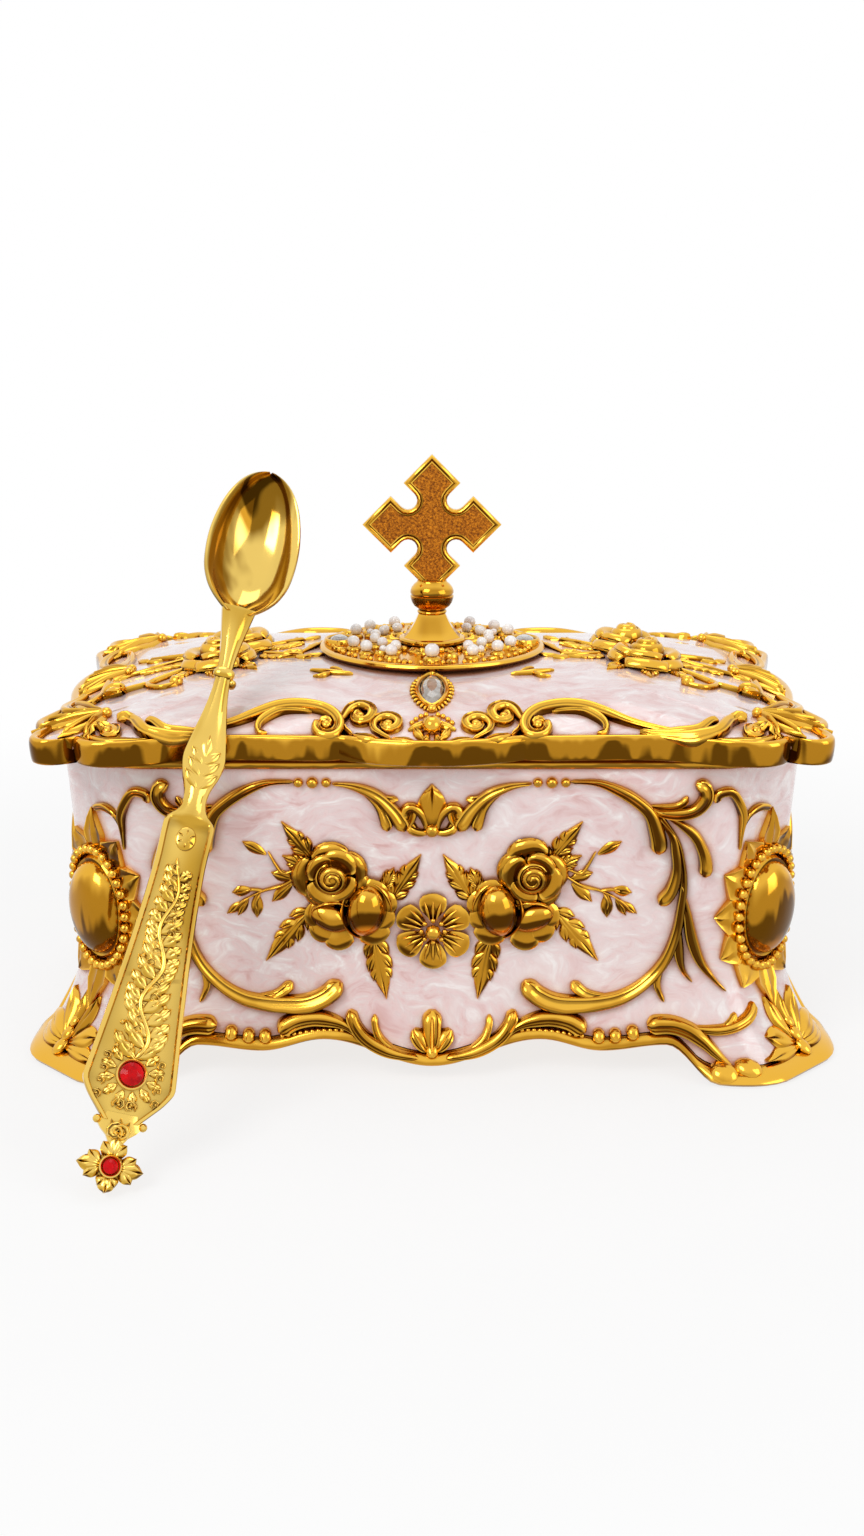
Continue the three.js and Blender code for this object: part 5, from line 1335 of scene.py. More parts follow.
def dome_share(x, y):
    """Share of the ring that passes through a place: 0 in the lid's middle, 1 at its outline."""
    wanted = math.hypot(x, y)
    smooth = oblong_radius(x, y, DOME_HALF_WIDTH, DOME_HALF_DEPTH)
    edge = outline_radius(x, y)
    low, high = 0.0, 1.1
    for _ in range(HALVINGS):
        middle = (low + high) / 2
        if widened(smooth, edge, middle) < wanted:
            low = middle
        else:
            high = middle
    return low


def dome_height(x, y):
    return BAND_TOP - DOME_START + DOME_RISE * (1 - dome_share(x, y) ** DOME_POWER)


def lid_point(x, y, lift):
    return Vector((x, y, dome_height(x, y) + lift))


def outline_ring(radius_of, height_of):
    row = []
    for p in OUTLINE:
        scale = radius_of(p) / p.length
        x, y = p.x * scale, p.y * scale
        row.append(Vector((x, y, height_of(x, y))))
    return row


def even_ring(radius_of, height_of):
    """A ring whose directions are averaged over their neighbours: none coincide at the outline's cusps."""
    count = len(OUTLINE)
    row = []
    for i in range(count):
        near = range(i - NEIGHBOURS, i + NEIGHBOURS + 1)
        turns = [OUTLINE_TURNS[k % count] + 2 * math.pi * (k // count) for k in near]
        angle = START_ANGLE + sum(turns) / len(turns)
        ahead = Vector((math.cos(angle), math.sin(angle)))
        x, y = ahead * radius_of(ahead)
        row.append(Vector((x, y, height_of(x, y))))
    return row


def inset(depth):
    return lambda p: p.length - depth


def ring_at(share):
    return lambda p: ring_radius(p.x, p.y, share)


def plain(radius):
    return lambda p: radius


def ledge(p):
    return oblong_radius(p.x, p.y, LEDGE_HALF_WIDTH, LEDGE_HALF_DEPTH)


def level(height):
    return lambda x, y: height


def under_dome(drop):
    return lambda x, y: dome_height(x, y) - drop


def lid_casting():
    """The cast lid, open under its plate, with a plain polished rim band."""
    rows = [even_ring(ledge, level(BAND_BOTTOM))]
    for depth, height in (
        (1.3, 0), (0.7, 0.05), (0.45, 0.2), (0.35, 0.5), (0.2, 1.2), (0.08, 2.2), (0.0, 3.2), (0.02, 4.0),
        (0.12, 4.5), (0.35, 4.85), (0.7, 5.05), (1.1, 5.1), (1.6, 5.0),
    ):
        rows.append(outline_ring(inset(depth), level(BAND_BOTTOM + height)))
    for depth, drop in ((2.2, -0.35), (2.55, 0.1), (2.6, ENAMEL_BED)):
        rows.append(outline_ring(inset(depth), under_dome(drop)))
    stem_hole = plain(1.9)
    for radius in (ring_at(0.9), ring_at(0.75), ring_at(0.6), ring_at(0.45), ring_at(0.3), stem_hole):
        rows.append(even_ring(radius, under_dome(ENAMEL_BED)))
    for radius in (stem_hole, ring_at(0.3), ring_at(0.45), ring_at(0.6), ring_at(0.75), ledge):
        rows.append(even_ring(radius, under_dome(ENAMEL_BED + LID_WALL)))
    return lofted(rows, looped=True)


def lid_enamel():
    """The enamel skin, from inside the rim band to under the pearl plate."""
    rings = [(inset(2.65), 0.75), (inset(2.65), 0.45), (inset(2.9), 0.15), (inset(3.5), 0)]
    rings += [(ring_at(0.945 - 0.04 * k), 0) for k in range(1, 18)]
    rings += [(plain(19), 0), (plain(19), 0.5), (ring_at(0.5), 0.75)]
    return lofted([outline_ring(radius, under_dome(drop)) for radius, drop in rings], looped=True)


# Relief of the lid

LID_SCALE = 5.2
LID_FRONT_PIXEL = 744
LID_FRONT = -50
LID_SLANT = 0.3
RELIEF_MIDDLE = 0.6


def lay_on_lid(drawing):
    """Moves a flat drawing on to the dome, its relief along the dome's slope."""
    step = 0.4

    def place(c):
        slope_x = (dome_height(c.x + step, c.y) - dome_height(c.x - step, c.y)) / (2 * step)
        slope_y = (dome_height(c.x, c.y + step) - dome_height(c.x, c.y - step)) / (2 * step)
        normal = Vector((-slope_x, -slope_y, 1)).normalized()
        return Vector((c.x, c.y, dome_height(c.x, c.y))) + normal * c.z

    return drawing.moved(place)


def on_lid(pixel):
    """Place on the dome at a pixel."""
    across = (pixel[0] - PICTURE_MIDDLE.x) / LID_SCALE
    back = LID_FRONT + (LID_FRONT_PIXEL - pixel[1]) * LID_SLANT
    return found_on(lambda x, y: lid_point(x, y, RELIEF_MIDDLE), pixel, (across, back))


def lid_line(pixels):
    return [on_lid(pixel) for pixel in pixels]


def lid_strokes(drawing, table):
    """Strokes on the lid, each as (pixels, width, height, start, finish)."""
    for pixels, width, height, start, finish in table:
        scroll(drawing, lid_line(pixels), width, height, start=start, finish=finish)


def beads_on_lid(drawing, pixels, radius, lift=0.5):
    for x, y in lid_line(pixels):
        ball(drawing, x, y, radius, lift)


def shell_fan(drawing, root, tips, width, height=2.0):
    """Overlapping ribs that fan out of one root, as on a scallop shell; root and tips are on the lid."""
    root = Vector(root)
    for tip in tips:
        rib = Vector(tip) - root
        leaf(drawing, *root, math.degrees(math.atan2(rib.y, rib.x)), rib.length, width, height)
        scroll(drawing, [root, root + rib * 0.5, root + rib * 0.9], 0.8, height * 1.1, ROUND, 0.6, 0.8)
    ball(drawing, *root, width * 0.4, 0.7)


def lid_scrolls():
    """The scrolls over the front right quarter of the lid."""
    drawing = Drawing()
    lid_strokes(drawing, (
        ([(545, 720), (548, 727), (543, 733), (533, 734), (526, 729), (525, 721), (531, 713), (543, 707.5),
          (563, 704.7), (584, 706), (605, 712), (626, 719.5), (650, 725.5), (675, 730)], 2.3, 1.9, 0.7, 0.4),
        ([(538, 726), (534, 723), (538, 719), (545, 720)], 1.3, 1.4, 0.8, 0.9),
        ([(552, 710), (580, 709), (598, 716), (606, 724), (604, 731), (597, 731)], 1.8, 1.5, 0.4, 0.5),
        ([(640, 729), (673, 732), (698, 729), (711, 720.7), (718, 719.5)], 2.0, 1.6, 0.3, 0.8),
        ([(640, 731), (673, 735), (698, 735.5), (719, 730.6), (729, 720.7), (739, 715.7), (745.8, 719)],
         2.4, 1.8, 0.3, 0.8),
        ([(775, 739), (776, 731), (770, 725.5), (759, 724.5), (749, 727.5), (748, 733), (755, 736),
          (761, 732.5), (757, 729)], 1.7, 1.5, 0.6, 0.6),
        ([(775, 736), (760, 740.5), (740, 740), (712, 737)], 1.5, 1.2, 0.8, 0.2),
        ([(789, 709), (772, 702.5), (759, 694), (751, 686)], 1.6, 1.4, 0.7, 0.3),
        ([(731, 656), (742.5, 669), (755.7, 672.7), (780.5, 682.6)], 1.8, 1.5, 0.6, 0.6),
    ))
    beads_on_lid(drawing, ((538, 724), (755.7, 730.6)), 1.0)
    tips = lid_line([(790, 708), (806, 716), (822, 724), (832, 732), (806, 738), (781, 738)])
    shell_fan(drawing, on_lid((757, 714)), tips, 3.0)
    edge = LID_HALF_WIDTH - 3.4
    tips = [(edge - 1, -12), (edge + 0.4, -7.5), (edge + 0.8, -2.5)]
    shell_fan(drawing, (edge - 10, -1.5), tips, 2.8, 1.9)
    line = [(edge - 3, -13), (edge - 1, -19), (edge - 1, -25), (edge - 4, -31)]
    scroll(drawing, line, 2.2, 1.8, start=0.6, finish=0.5)
    return drawing


def lid_middle_scrolls():
    """The pair of volutes with beads and leaves at the middle of the lid's front edge, right half."""
    drawing = Drawing()
    lid_strokes(drawing, (
        ([(511, 733.5), (519, 727), (523, 721), (521, 717), (514, 708.5), (504, 705.5), (494, 708.5),
          (491.5, 714), (496, 720), (505, 721), (510, 716.5), (507, 712), (502, 712.5)], 2.0, 1.8, 0.3, 0.7),
        ([(511, 733.5), (498, 738), (480, 741)], 1.8, 1.5, 0.5, 0.3),
        ([(473, 737.5), (484, 732), (489, 728.5), (490, 723), (484, 717.5), (475, 716), (467, 719),
          (465.7, 724), (470, 728), (477, 728.5), (480.5, 724.5), (477, 721)], 1.8, 1.6, 0.3, 0.7),
        ([(473, 737.5), (455, 741.5), (442, 742)], 1.6, 1.3, 0.5, 0.3),
    ))
    beads_on_lid(drawing, ((503.5, 716), (475.6, 723.7)), 1.0)
    beads_on_lid(drawing, ((438, 713), (443, 714.5), (448, 717.5), (452, 721)), 0.55)
    leaf(drawing, *on_lid((456, 728)), 150, 4.5, 2.2, 1.3)
    leaf(drawing, *on_lid((440, 738)), 60, 4.0, 2.0, 1.3)
    return drawing


def lid_ball_flower():
    """A ball among eight small leaves, between the volutes."""
    drawing = Drawing()
    _, y = on_lid((432, 727))
    ball(drawing, 0, y, 1.9, 0.6)
    for place, heading in oval(8, 1.6, 1.6, 22.5):
        leaf(drawing, place.x, y + place.y, heading, 2.2, 1.4, 1.1)
    return drawing


def mirrored_drawing(drawing, x, y):
    """A copy with x or y turned over where its sign is -1."""
    return drawing.moved(lambda c: Vector((c.x * x, c.y * y, c.z)))


def front_and_back(drawing):
    whole = Drawing()
    whole.merge(drawing)
    whole.merge(mirrored_drawing(drawing, 1, -1))
    return whole


def lid_bouquet():
    """Two roses among leaves, with sprigs towards the plate and the lid's end."""
    drawing = Drawing()
    for x, y, heading, length, width in (
        (37, 3, 168, 9, 4.6), (37, -4, 200, 9, 4.4), (41, -9, 236, 9, 4.4), (45, -11, 268, 9, 4.6),
        (49, -10, 300, 8, 4.0), (46, 7, 60, 8, 4.0), (40, 8, 110, 8, 4.0), (50, 4, 25, 9, 4.4),
        (52, -3, -8, 10, 4.6),
    ):
        notched_leaf(drawing, x, y, heading, length, width, 1.1)
    rose(drawing, 42, 6, 8.8, 10, 1.5)
    rose(drawing, 45, -6.5, 8.8, 40, 1.4)
    for points, width in (
        ([(36, -3), (31, -6), (27, -6.5)], 0.8), ([(52, 0), (58, -3), (64, -4)], 0.9),
        ([(50, 4), (57, 6), (62, 10)], 0.8), ([(50, -9), (55, -14), (58, -19), (55, -23.5), (51, -22)], 1.0),
        ([(58, -18), (63, -19.5), (69, -21)], 0.8), ([(37, 4), (32, 7), (28, 11)], 0.8),
    ):
        scroll(drawing, points, width, 1.2, ROUND, start=0.9, finish=0.7)
    bud(drawing, 64.5, -20.2, -15, 4.6)
    ball(drawing, 51.8, -21.6, 1.4, 0.5)
    for x, y, heading in (
        (31, -6, 150), (29, -6.5, 215), (27, -6.5, 180), (57, -2.5, 35), (58, -3, -50), (61, -3.5, 30),
        (64, -4, -8), (57, 6, 80), (58, 7, 5), (62, 10, 45), (32, 7, 190), (30, 9, 95), (28, 11, 140),
    ):
        leaf(drawing, x, y, heading, 4.4, 2.0, 1.2)
    return drawing


def plate_twigs():
    """Bare twigs that lie on the enamel beside the plate, right side."""
    drawing = Drawing()
    for pixels, width in (
        ([(511, 672), (530, 671), (554, 668)], 1.3), ([(520, 671), (528, 667.5), (534, 666)], 0.7),
        ([(532, 671), (542, 674.5), (551, 674)], 0.8), ([(538, 641), (550, 645), (561, 650)], 1.3),
    ):
        scroll(drawing, lid_line(pixels), width, 1.0, ROUND, start=0.7, finish=0.5)
    beads_on_lid(drawing, ((541, 642), (547, 644), (553, 646)), 0.7)
    leaf(drawing, *on_lid((558, 648)), -20, 5, 2.6, 1.1, lobes=3)
    return drawing


# Turned work, plate, finial and cross

def turned_work(name, profile, sides, stands_for=None, turn=0.0, smooth=35):
    """A disc that is extruded and resized from station to station of (radius, height)."""
    clear_selection()
    radius, height = profile[0]
    centre = Vector((0, 0, (height - GROUND) * MM))
    bpy.ops.mesh.primitive_circle_add(
        vertices=sides, radius=radius * MM, fill_type="NGON", location=centre, rotation=(0, 0, turn),
    )
    piece = bpy.context.active_object
    piece.name = name
    bpy.ops.object.transform_apply(location=True, rotation=True, scale=True)
    bpy.ops.object.mode_set(mode="EDIT")
    bpy.ops.mesh.select_all(action="SELECT")
    for (before, low), (after, high) in zip(profile, profile[1:]):
        bpy.ops.mesh.extrude_region_move(TRANSFORM_OT_translate={"value": (0, 0, (high - low) * MM)})
        share = after / before
        bpy.ops.transform.resize(value=(share, share, 1), center_override=(0, 0, (high - GROUND) * MM))
    bpy.ops.mesh.select_all(action="SELECT")
    bpy.ops.mesh.remove_doubles(threshold=1e-6)
    bpy.ops.mesh.normals_make_consistent(inside=False)
    bpy.ops.object.mode_set(mode="OBJECT")
    settle(piece, "lid", "deep_gold", DEEP_GOLD, smooth, stands_for)


PLATE_TOP = 78.75
OUTER_PEARLS = [0, 28, 50, 68, 112, 130, 152, 180, 208, 230, 248, 292, 310, 332]
INNER_PEARLS = [38, 58, 80, 100, 122, 142, 218, 238, 260, 280, 302, 322]
MIDDLE_PEARLS = [42, 62, 118, 138, 222, 242, 298, 318]
OUTER_RING = 17.8
INNER_RING = 12.3
MIDDLE_RING = 15.2
BEAD_RING = 21.3
ROSETTE_RING = 7.2
SMALL_BEAD_RING = 10.4
CURL_RING = 15.4
OUTER_LEAF_RING = 19.4
PEARL_LIFT = 1.35
CUP_WIDTH = 1.25
CUP_RISE = 0.75


def around_plate(degrees, reach):
    """Place on the plate; 0 degrees is the front."""
    return unit(degrees - 90) * reach


def pearl_places():
    """Places and radii of the pearls; the one at the front and the one at the back are bigger."""
    places = [(*around_plate(a, OUTER_RING), 1.55 if a % 180 == 0 else 1.3) for a in OUTER_PEARLS]
    places += [(*around_plate(a, INNER_RING), 1.15) for a in INNER_PEARLS]
    places += [(*around_plate(a, MIDDLE_RING), 0.8) for a in MIDDLE_PEARLS]
    return places


def pearl_plate():
    """The dish, then its cups, beads and leaves as one piece."""
    turned_work("plate_dish", [
        (21.4, 76.9), (22.6, 77.3), (23.3, 77.6), (23.8, 77.9), (24.0, 78.3), (23.8, 78.7), (23.3, 78.95),
        (22.7, 78.95), (22.3, 78.75), (21.6, 78.65), (14.0, PLATE_TOP), (6.0, 79.1),
    ], 96, "pearl_plate")
    drawing = Drawing()
    for x, y, radius in pearl_places():
        dome(drawing, x, y, radius * CUP_WIDTH, radius * CUP_WIDTH, 0, radius * CUP_RISE, 14)
    rim_beads = Drawing()
    for k in range(60):
        ball(rim_beads, *around_plate(6 * k, BEAD_RING), 0.5, 0)
    drawing.merge(rim_beads.raised(0.25))
    for k in range(16):
        leaf(drawing, *around_plate(22.5 * k, ROSETTE_RING), 22.5 * k - 90, 5.0, 2.6, 1.3, lobes=2)
    for k in range(16):
        ball(drawing, *around_plate(22.5 * k + 11.25, SMALL_BEAD_RING), 0.65, 0.8)
    for k in range(14):
        turn = 360 / 14 * k
        volute(drawing, *around_plate(turn + 14, CURL_RING), turn, 1.5, 1 if k % 2 else -1, 0.8, 1.2)
        leaf(drawing, *around_plate(turn + 10, OUTER_LEAF_RING), turn - 80, 2.8, 1.8, 1.3)
    drawing.raised(PLATE_TOP).piece("plate_filigree", "lid")


def pearls():
    """One pearl is shaped from a sphere, then copied to each cup and joined."""
    clear_selection()
    bpy.ops.mesh.primitive_uv_sphere_add(segments=20, ring_count=12, radius=MM)
    first = bpy.context.active_object
    bpy.ops.object.mode_set(mode="EDIT")
    bpy.ops.mesh.select_all(action="SELECT")
    bpy.ops.transform.resize(value=(1, 1, 0.94))
    bpy.ops.transform.vertex_random(offset=0.03 * MM, seed=4)
    bpy.ops.object.mode_set(mode="OBJECT")
    copies = []
    for x, y, radius in pearl_places():
        data = first.data.copy()
        for vertex in data.vertices:
            vertex.co = vertex.co * radius + Vector((x, y, PLATE_TOP + PEARL_LIFT * radius - GROUND)) * MM
        copy = bpy.data.objects.new("pearl", data)
        bpy.context.scene.collection.objects.link(copy)
        copies.append(copy)
    bpy.data.objects.remove(first)
    clear_selection()
    for copy in copies:
        copy.select_set(True)
    bpy.context.view_layer.objects.active = copies[0]
    bpy.ops.object.join()
    joined = bpy.context.active_object
    joined.name = "pearls"
    settle(joined, "lid", "crystal", PEARL, 60)


def finial():
    """The round base, the eight-sided flare and the knop of the stem."""
    turned_work("finial_base", [
        (6.2, 79.2), (6.9, 79.25), (7.15, 79.6), (7.15, 79.95), (6.9, 80.3), (6.4, 80.45),
    ], 64)
    turned_work("finial_flare", [
        (6.5, 80.4), (5.7, 81.1), (5.0, 81.9), (4.4, 82.8), (3.85, 83.7), (3.4, 84.6), (3.1, 85.3),
        (2.7, 85.6),
    ], 8, turn=math.pi / 8, smooth=25)
    turned_work("finial_knop", [
        (2.6, 85.3), (3.0, 85.45), (3.15, 85.75), (3.0, 86.05), (2.75, 86.2), (3.1, 86.5), (3.8, 87.0),
        (4.3, 87.8), (4.58, 88.7), (4.6, 89.15), (4.35, 89.35), (4.35, 89.5), (4.6, 89.7), (4.6, 90.2),
        (4.35, 90.9), (3.8, 91.6), (3.2, 92.1), (3.1, 92.4), (2.8, 92.6), (2.4, 92.5),
    ], 48, "finial_stem")


CROSS_CENTRE = 104.2
CROSS_REACH = 14.6
NOTCH_HALF = 1.95
NOTCH_DEPTH = 7.15


def cross_outline(inset):
    """A square on its corner with four round-ended diagonal notches, as (across, up)."""
    tip = CROSS_REACH - inset * math.sqrt(2)
    half = NOTCH_HALF + inset
    corner = tip / 2
    shoulder = half * math.sqrt(0.5)
    notch = NOTCH_DEPTH * math.sqrt(0.5)
    arm = [(corner + shoulder, shoulder - corner), (tip, 0), (corner + shoulder, corner - shoulder)]
    arm += [Vector((notch, notch)) + unit(-45 - 22.5 * k) * half for k in range(9)]
    return [ahead * along + left_of(ahead) * across for ahead, _ in oval(4, 1, 1) for along, across in arm]


def in_cross(across, up, depth):
    return Vector((across, depth, CROSS_CENTRE + up))


def cross():
    """The raised border of the cross as a rounded ridge round a thinner core."""
    drawing = Drawing()
    rim(drawing, cross_outline, [
        (0.0, -0.7), (0.12, -1.1), (0.5, -1.3), (0.88, -1.1), (1.0, -0.6),
        (1.0, 0.6), (0.88, 1.1), (0.5, 1.3), (0.12, 1.1), (0.0, 0.7),
    ], in_cross)
    core = cross_outline(0.9)
    drawing.loft([[in_cross(*point, depth) for point in core] for depth in (-0.45, 0.45)])
    drawing.piece("cross_border", "lid", "cross_plate", smooth=50)


# Stones of the lid

SLOPE_STONE = (13.2, 4.6)
SLOPE_STONE_PLACE = -31.0
SIDE_STONE = (6.6, 4.4)
SIDE_STONE_PLACE = 19.8


def pointed_oval(length, width, count=32):
    """Outline of a stone that comes to a point at each end, along y."""
    points = []
    for place, _ in oval(count, 1, 1):
        points.append((width / 2 * math.copysign(abs(place.x) ** 1.35, place.x), length / 2 * place.y))
    return points


def set_stone(length, width, teeth):
    """A pointed stone's setting, drawn flat: a rounded rim on a thin plate, with small teeth round it."""
    drawing = Drawing()
    profile = [(0.0, 0.2), (0.15, 0.9), (0.5, 1.25), (0.85, 1.2), (1.05, 0.8), (1.1, -0.3), (0.0, -0.3)]
    rim(drawing, lambda out: pointed_oval(length + 2 * out, width + 2 * out), profile, corner_at)
    drawing.loft([[corner_at(*p, z) for p in pointed_oval(length + 1, width + 1)] for z in (-0.3, 0.15)])
    for x, y in pointed_oval(length + 3.3, width + 3.3, teeth) if teeth else ():
        inward = Vector((-x, -y * 0.4)).normalized()
        line = [Vector((x, y)) + inward * share for share in (-0.5, 0, 0.8)]
        scroll(drawing, line, 0.62, 0.75, ROUND, start=0.9, finish=0.8)
    return drawing


def faceted_stone(length, width):
    return lofted([
        [corner_at(*p, rise) for p in pointed_oval(length * scale, width * scale, 12)]
        for scale, rise in ((1.0, 0.2), (1.0, 0.7), (0.78, 1.25), (0.45, 1.6))
    ])


def lid_stones():
    """The long stone on the front slope and the two on the plate, each in its setting."""
    length, width = SLOPE_STONE
    setting = set_stone(length, width, 34)
    for end in (1, -1):
        ball(setting, 0, end * (length / 2 + 1.3), 0.9, 0.6)
    down = Vector((0, SLOPE_STONE_PLACE, 0))
    for flat, name, node, slot, smooth in (
        (setting, "slope_setting", "bezel_front", "deep_gold", 40),
        (faceted_stone(length, width), "slope_stone", "crystal_front", "crystal", 12),
    ):
        lay_on_lid(flat.moved(lambda c: c + down)).piece(name, "lid", node, slot, smooth=smooth)
    length, width = SIDE_STONE
    for side, name in ((1, "right"), (-1, "left")):
        place = Vector((side * SIDE_STONE_PLACE, 0, PLATE_TOP + 0.1))
        setting = set_stone(length, width, 0).moved(lambda c: c + place)
        setting.piece(f"side_setting_{name}", "lid", f"bezel_{name}")
        stone = faceted_stone(length, width).moved(lambda c: c + place)
        stone.piece(f"side_stone_{name}", "lid", f"crystal_{name}", "crystal", smooth=12)


def dress_lid():
    lid_casting().piece("lid_shell", "lid", "lid_casting", finish=SMOOTH_GOLD)
    lid_enamel().piece("lid_skin", "lid", "lid_enamel", "pink_enamel", smooth=60)
    border = lay_on_lid(front_and_back(lid_scrolls()))
    bouquet = lay_on_lid(lid_bouquet())
    twigs = lay_on_lid(plate_twigs())
    for side, name in ((1, "right"), (-1, "left")):
        mirrored_drawing(border, side, 1).piece(f"lid_scrolls_{name}", "lid", f"lid_{name}_border")
        mirrored_drawing(bouquet, side, 1).piece(f"lid_bouquet_{name}", "lid", f"lid_{name}_roses", smooth=50)
        mirrored_drawing(twigs, side, 1).piece(f"lid_twigs_{name}", "lid")
    half = lid_middle_scrolls()
    middle = lid_ball_flower()
    middle.merge(half)
    middle.merge(mirrored_drawing(half, -1, 1))
    lay_on_lid(front_and_back(middle)).piece("lid_middle_scrolls", "lid")
    pearl_plate()
    pearls()
    finial()
    cross()
    lid_stones()


# Spoon, drawn with Y along it from its foot, X across it and +Z out of its face

SPOON_FOOT = Vector((-57, -98, 0.7))
SPOON_ALONG = Vector((0.1689, 0.5799, 0.7970)).normalized()
SPOON_FACE = Vector((0.272, -0.804, 0.528)).normalized()
SPOON_ACROSS = SPOON_ALONG.cross(SPOON_FACE).normalized()
HANDLE_FACE = 0.95
HANDLE_BACK = -1.05
STEM_BACK = -0.85
FIELD_DEPTH = 0.4
LARGE_RUBY = 21.6
SMALL_RUBY = 5.3
ENGRAVING_START = 24.5
ENGRAVING_PITCH = 2.1
ENGRAVED_KNOT = 66.2
BOWL_DEPTH = 5.2
BOWL_WALL = 0.8
BOWL_HALF = 9.2


def spoon_place(across, along, out):
    return SPOON_FOOT + SPOON_ACROSS * across + SPOON_ALONG * along + SPOON_FACE * out


def on_spoon(drawing, low=0.0):
    """Carries a flat drawing into the spoon's place; low is the level its relief stands on."""
    return drawing.moved(lambda c: spoon_place(c.x, c.y, c.z + low))


def handle_section(y, half, border):
    """Closed section of the handle or stem; border is 1 where the edge is raised over a sunk field."""
    lip = min(1.0, half * 0.4)
    back = lerp(STEM_BACK, HANDLE_BACK, border)
    face = HANDLE_FACE
    field = face - FIELD_DEPTH * border
    crown = field + 0.35 * (1 - border)
    outline = [
        (-half, back + 0.3), (-half, face - 0.25), (-half + 0.2, face), (-half + lip * 0.8, face),
        (-half + lip * 1.1, field), (-half * 0.45, lerp(crown, field, 0.5)), (0, crown),
        (half * 0.45, lerp(crown, field, 0.5)), (half - lip * 1.1, field), (half - lip * 0.8, face),
        (half - 0.2, face), (half, face - 0.25), (half, back + 0.3), (half - 0.35, back),
        (-half + 0.35, back),
    ]
    return [Vector((x, y, z)) for x, z in outline]


def spoon_handle():
    """The broad engraved handle and the slender stem up to the bowl."""
    outline = [
        (13.2, 3.2), (15.2, 5.0), (17.4, 6.9), (19.6, 8.2), (20.6, 8.25), (24, 7.9), (32, 7.0), (42, 6.0),
        (52, 5.2), (61, 4.75), (67.4, 4.8), (69.6, 4.6), (71.2, 3.1), (72.6, 2.35), (74.6, 2.2), (76.6, 2.6),
        (79.4, 3.6), (82.2, 4.05), (84.8, 3.7), (88.4, 3.0), (91.4, 2.4), (95, 1.8), (98.4, 1.5),
        (102, 1.45), (106, 1.9), (110, 2.6), (114.4, 3.4),
    ]
    path = smooth_path(outline, 0.8)
    return lofted([handle_section(point.x, point.y, ease((70.6 - point.x) / 2)) for point, _ in path])


def spoon_bowl():
    """An egg-shaped bowl with a rolled lip, its pointed end away from the handle."""
    outline = [
        (113.2, 2.6), (114.6, 4.4), (116.4, 6.1), (118.6, 7.5), (122, 8.7), (126.6, BOWL_HALF), (130.7, 9.1),
        (134.4, 8.5), (137.6, 7.6), (140.2, 6.4), (142.2, 5.0), (143.6, 3.4), (144.3, 2.0), (144.6, 0.8),
    ]
    shares = [k / 6 for k in range(-5, 6)]
    rows = []
    for point, _ in smooth_path(outline, 0.8):
        y, half = point
        lift = 0.9 * ((y - 129) / 15.5) ** 2 + 0.2
        depth = BOWL_DEPTH * (half / BOWL_HALF) ** 1.1
        inner = max(0.15, half - 0.95)
        section = [(-half, lift - 0.5), (-half + 0.1, lift), (-half + 0.45, lift + 0.25), (-inner, lift)]
        section += [(s * inner, lift - 0.1 - depth * (1 - s * s) ** 0.75) for s in shares]
        section += [(inner, lift), (half - 0.45, lift + 0.25), (half - 0.1, lift), (half, lift - 0.5)]
        outside = depth + BOWL_WALL
        section += [(s * half, lift - 0.5 - outside * (1 - s * s) ** 0.75) for s in reversed(shares)]
        rows.append([Vector((x, y, z)) for x, z in section])
    return lofted(rows)


def spoon_terminal():
    """The small leafy cross at the foot and the curls that join it to the handle."""
    drawing = Drawing()
    dome(drawing, 0, SMALL_RUBY, 2.7, 2.7, -0.7, 1.3, 20)
    arms = Drawing()
    for heading, reach in ((0, 4.4), (90, 4.2), (180, 4.4), (270, 3.0)):
        root = Vector((0, SMALL_RUBY)) + unit(heading) * 1.5
        leaf(arms, *root, heading, reach, 2.9, 1.7)
        for sign in (1, -1):
            leaf(arms, *root, heading + sign * 34, reach * 0.8, 2.5, 1.4, bend=sign * 10)
    drawing.merge(arms.moved(lambda c: Vector((c.x, c.y, c.z if c.z > 0 else -0.9))))
    rows = []
    for y, half in ((9.6, 1.4), (10.6, 2.0), (11.6, 3.2), (12.6, 4.0), (13.6, 3.9), (14.6, 3.6)):
        section = [(-1, -0.8), (-1, 0.3), (-0.6, 0.7), (0.6, 0.7), (1, 0.3), (1, -0.8)]
        rows.append([Vector((x * half, y, z)) for x, z in section])
    drawing.loft(rows)
    for side in (1, -1):
        curl = Drawing()
        volute(curl, side * 0.6, 10.2, 90 - side * 40, 1.5, side, 1.1, 1.2)
        drawing.merge(curl.raised(0.5))
        ball(drawing, side * 4.1, 13.0, 0.8, 0.3)
    for heading in (60, 90, 120):
        leaf(drawing, 0, 10.4, heading, 3.6, 1.7, 1.5)
    return drawing


def field_half(k):
    """Half the width of the sunk field at the stem's bend k."""
    return lerp(7.0, 3.8, k / 18)


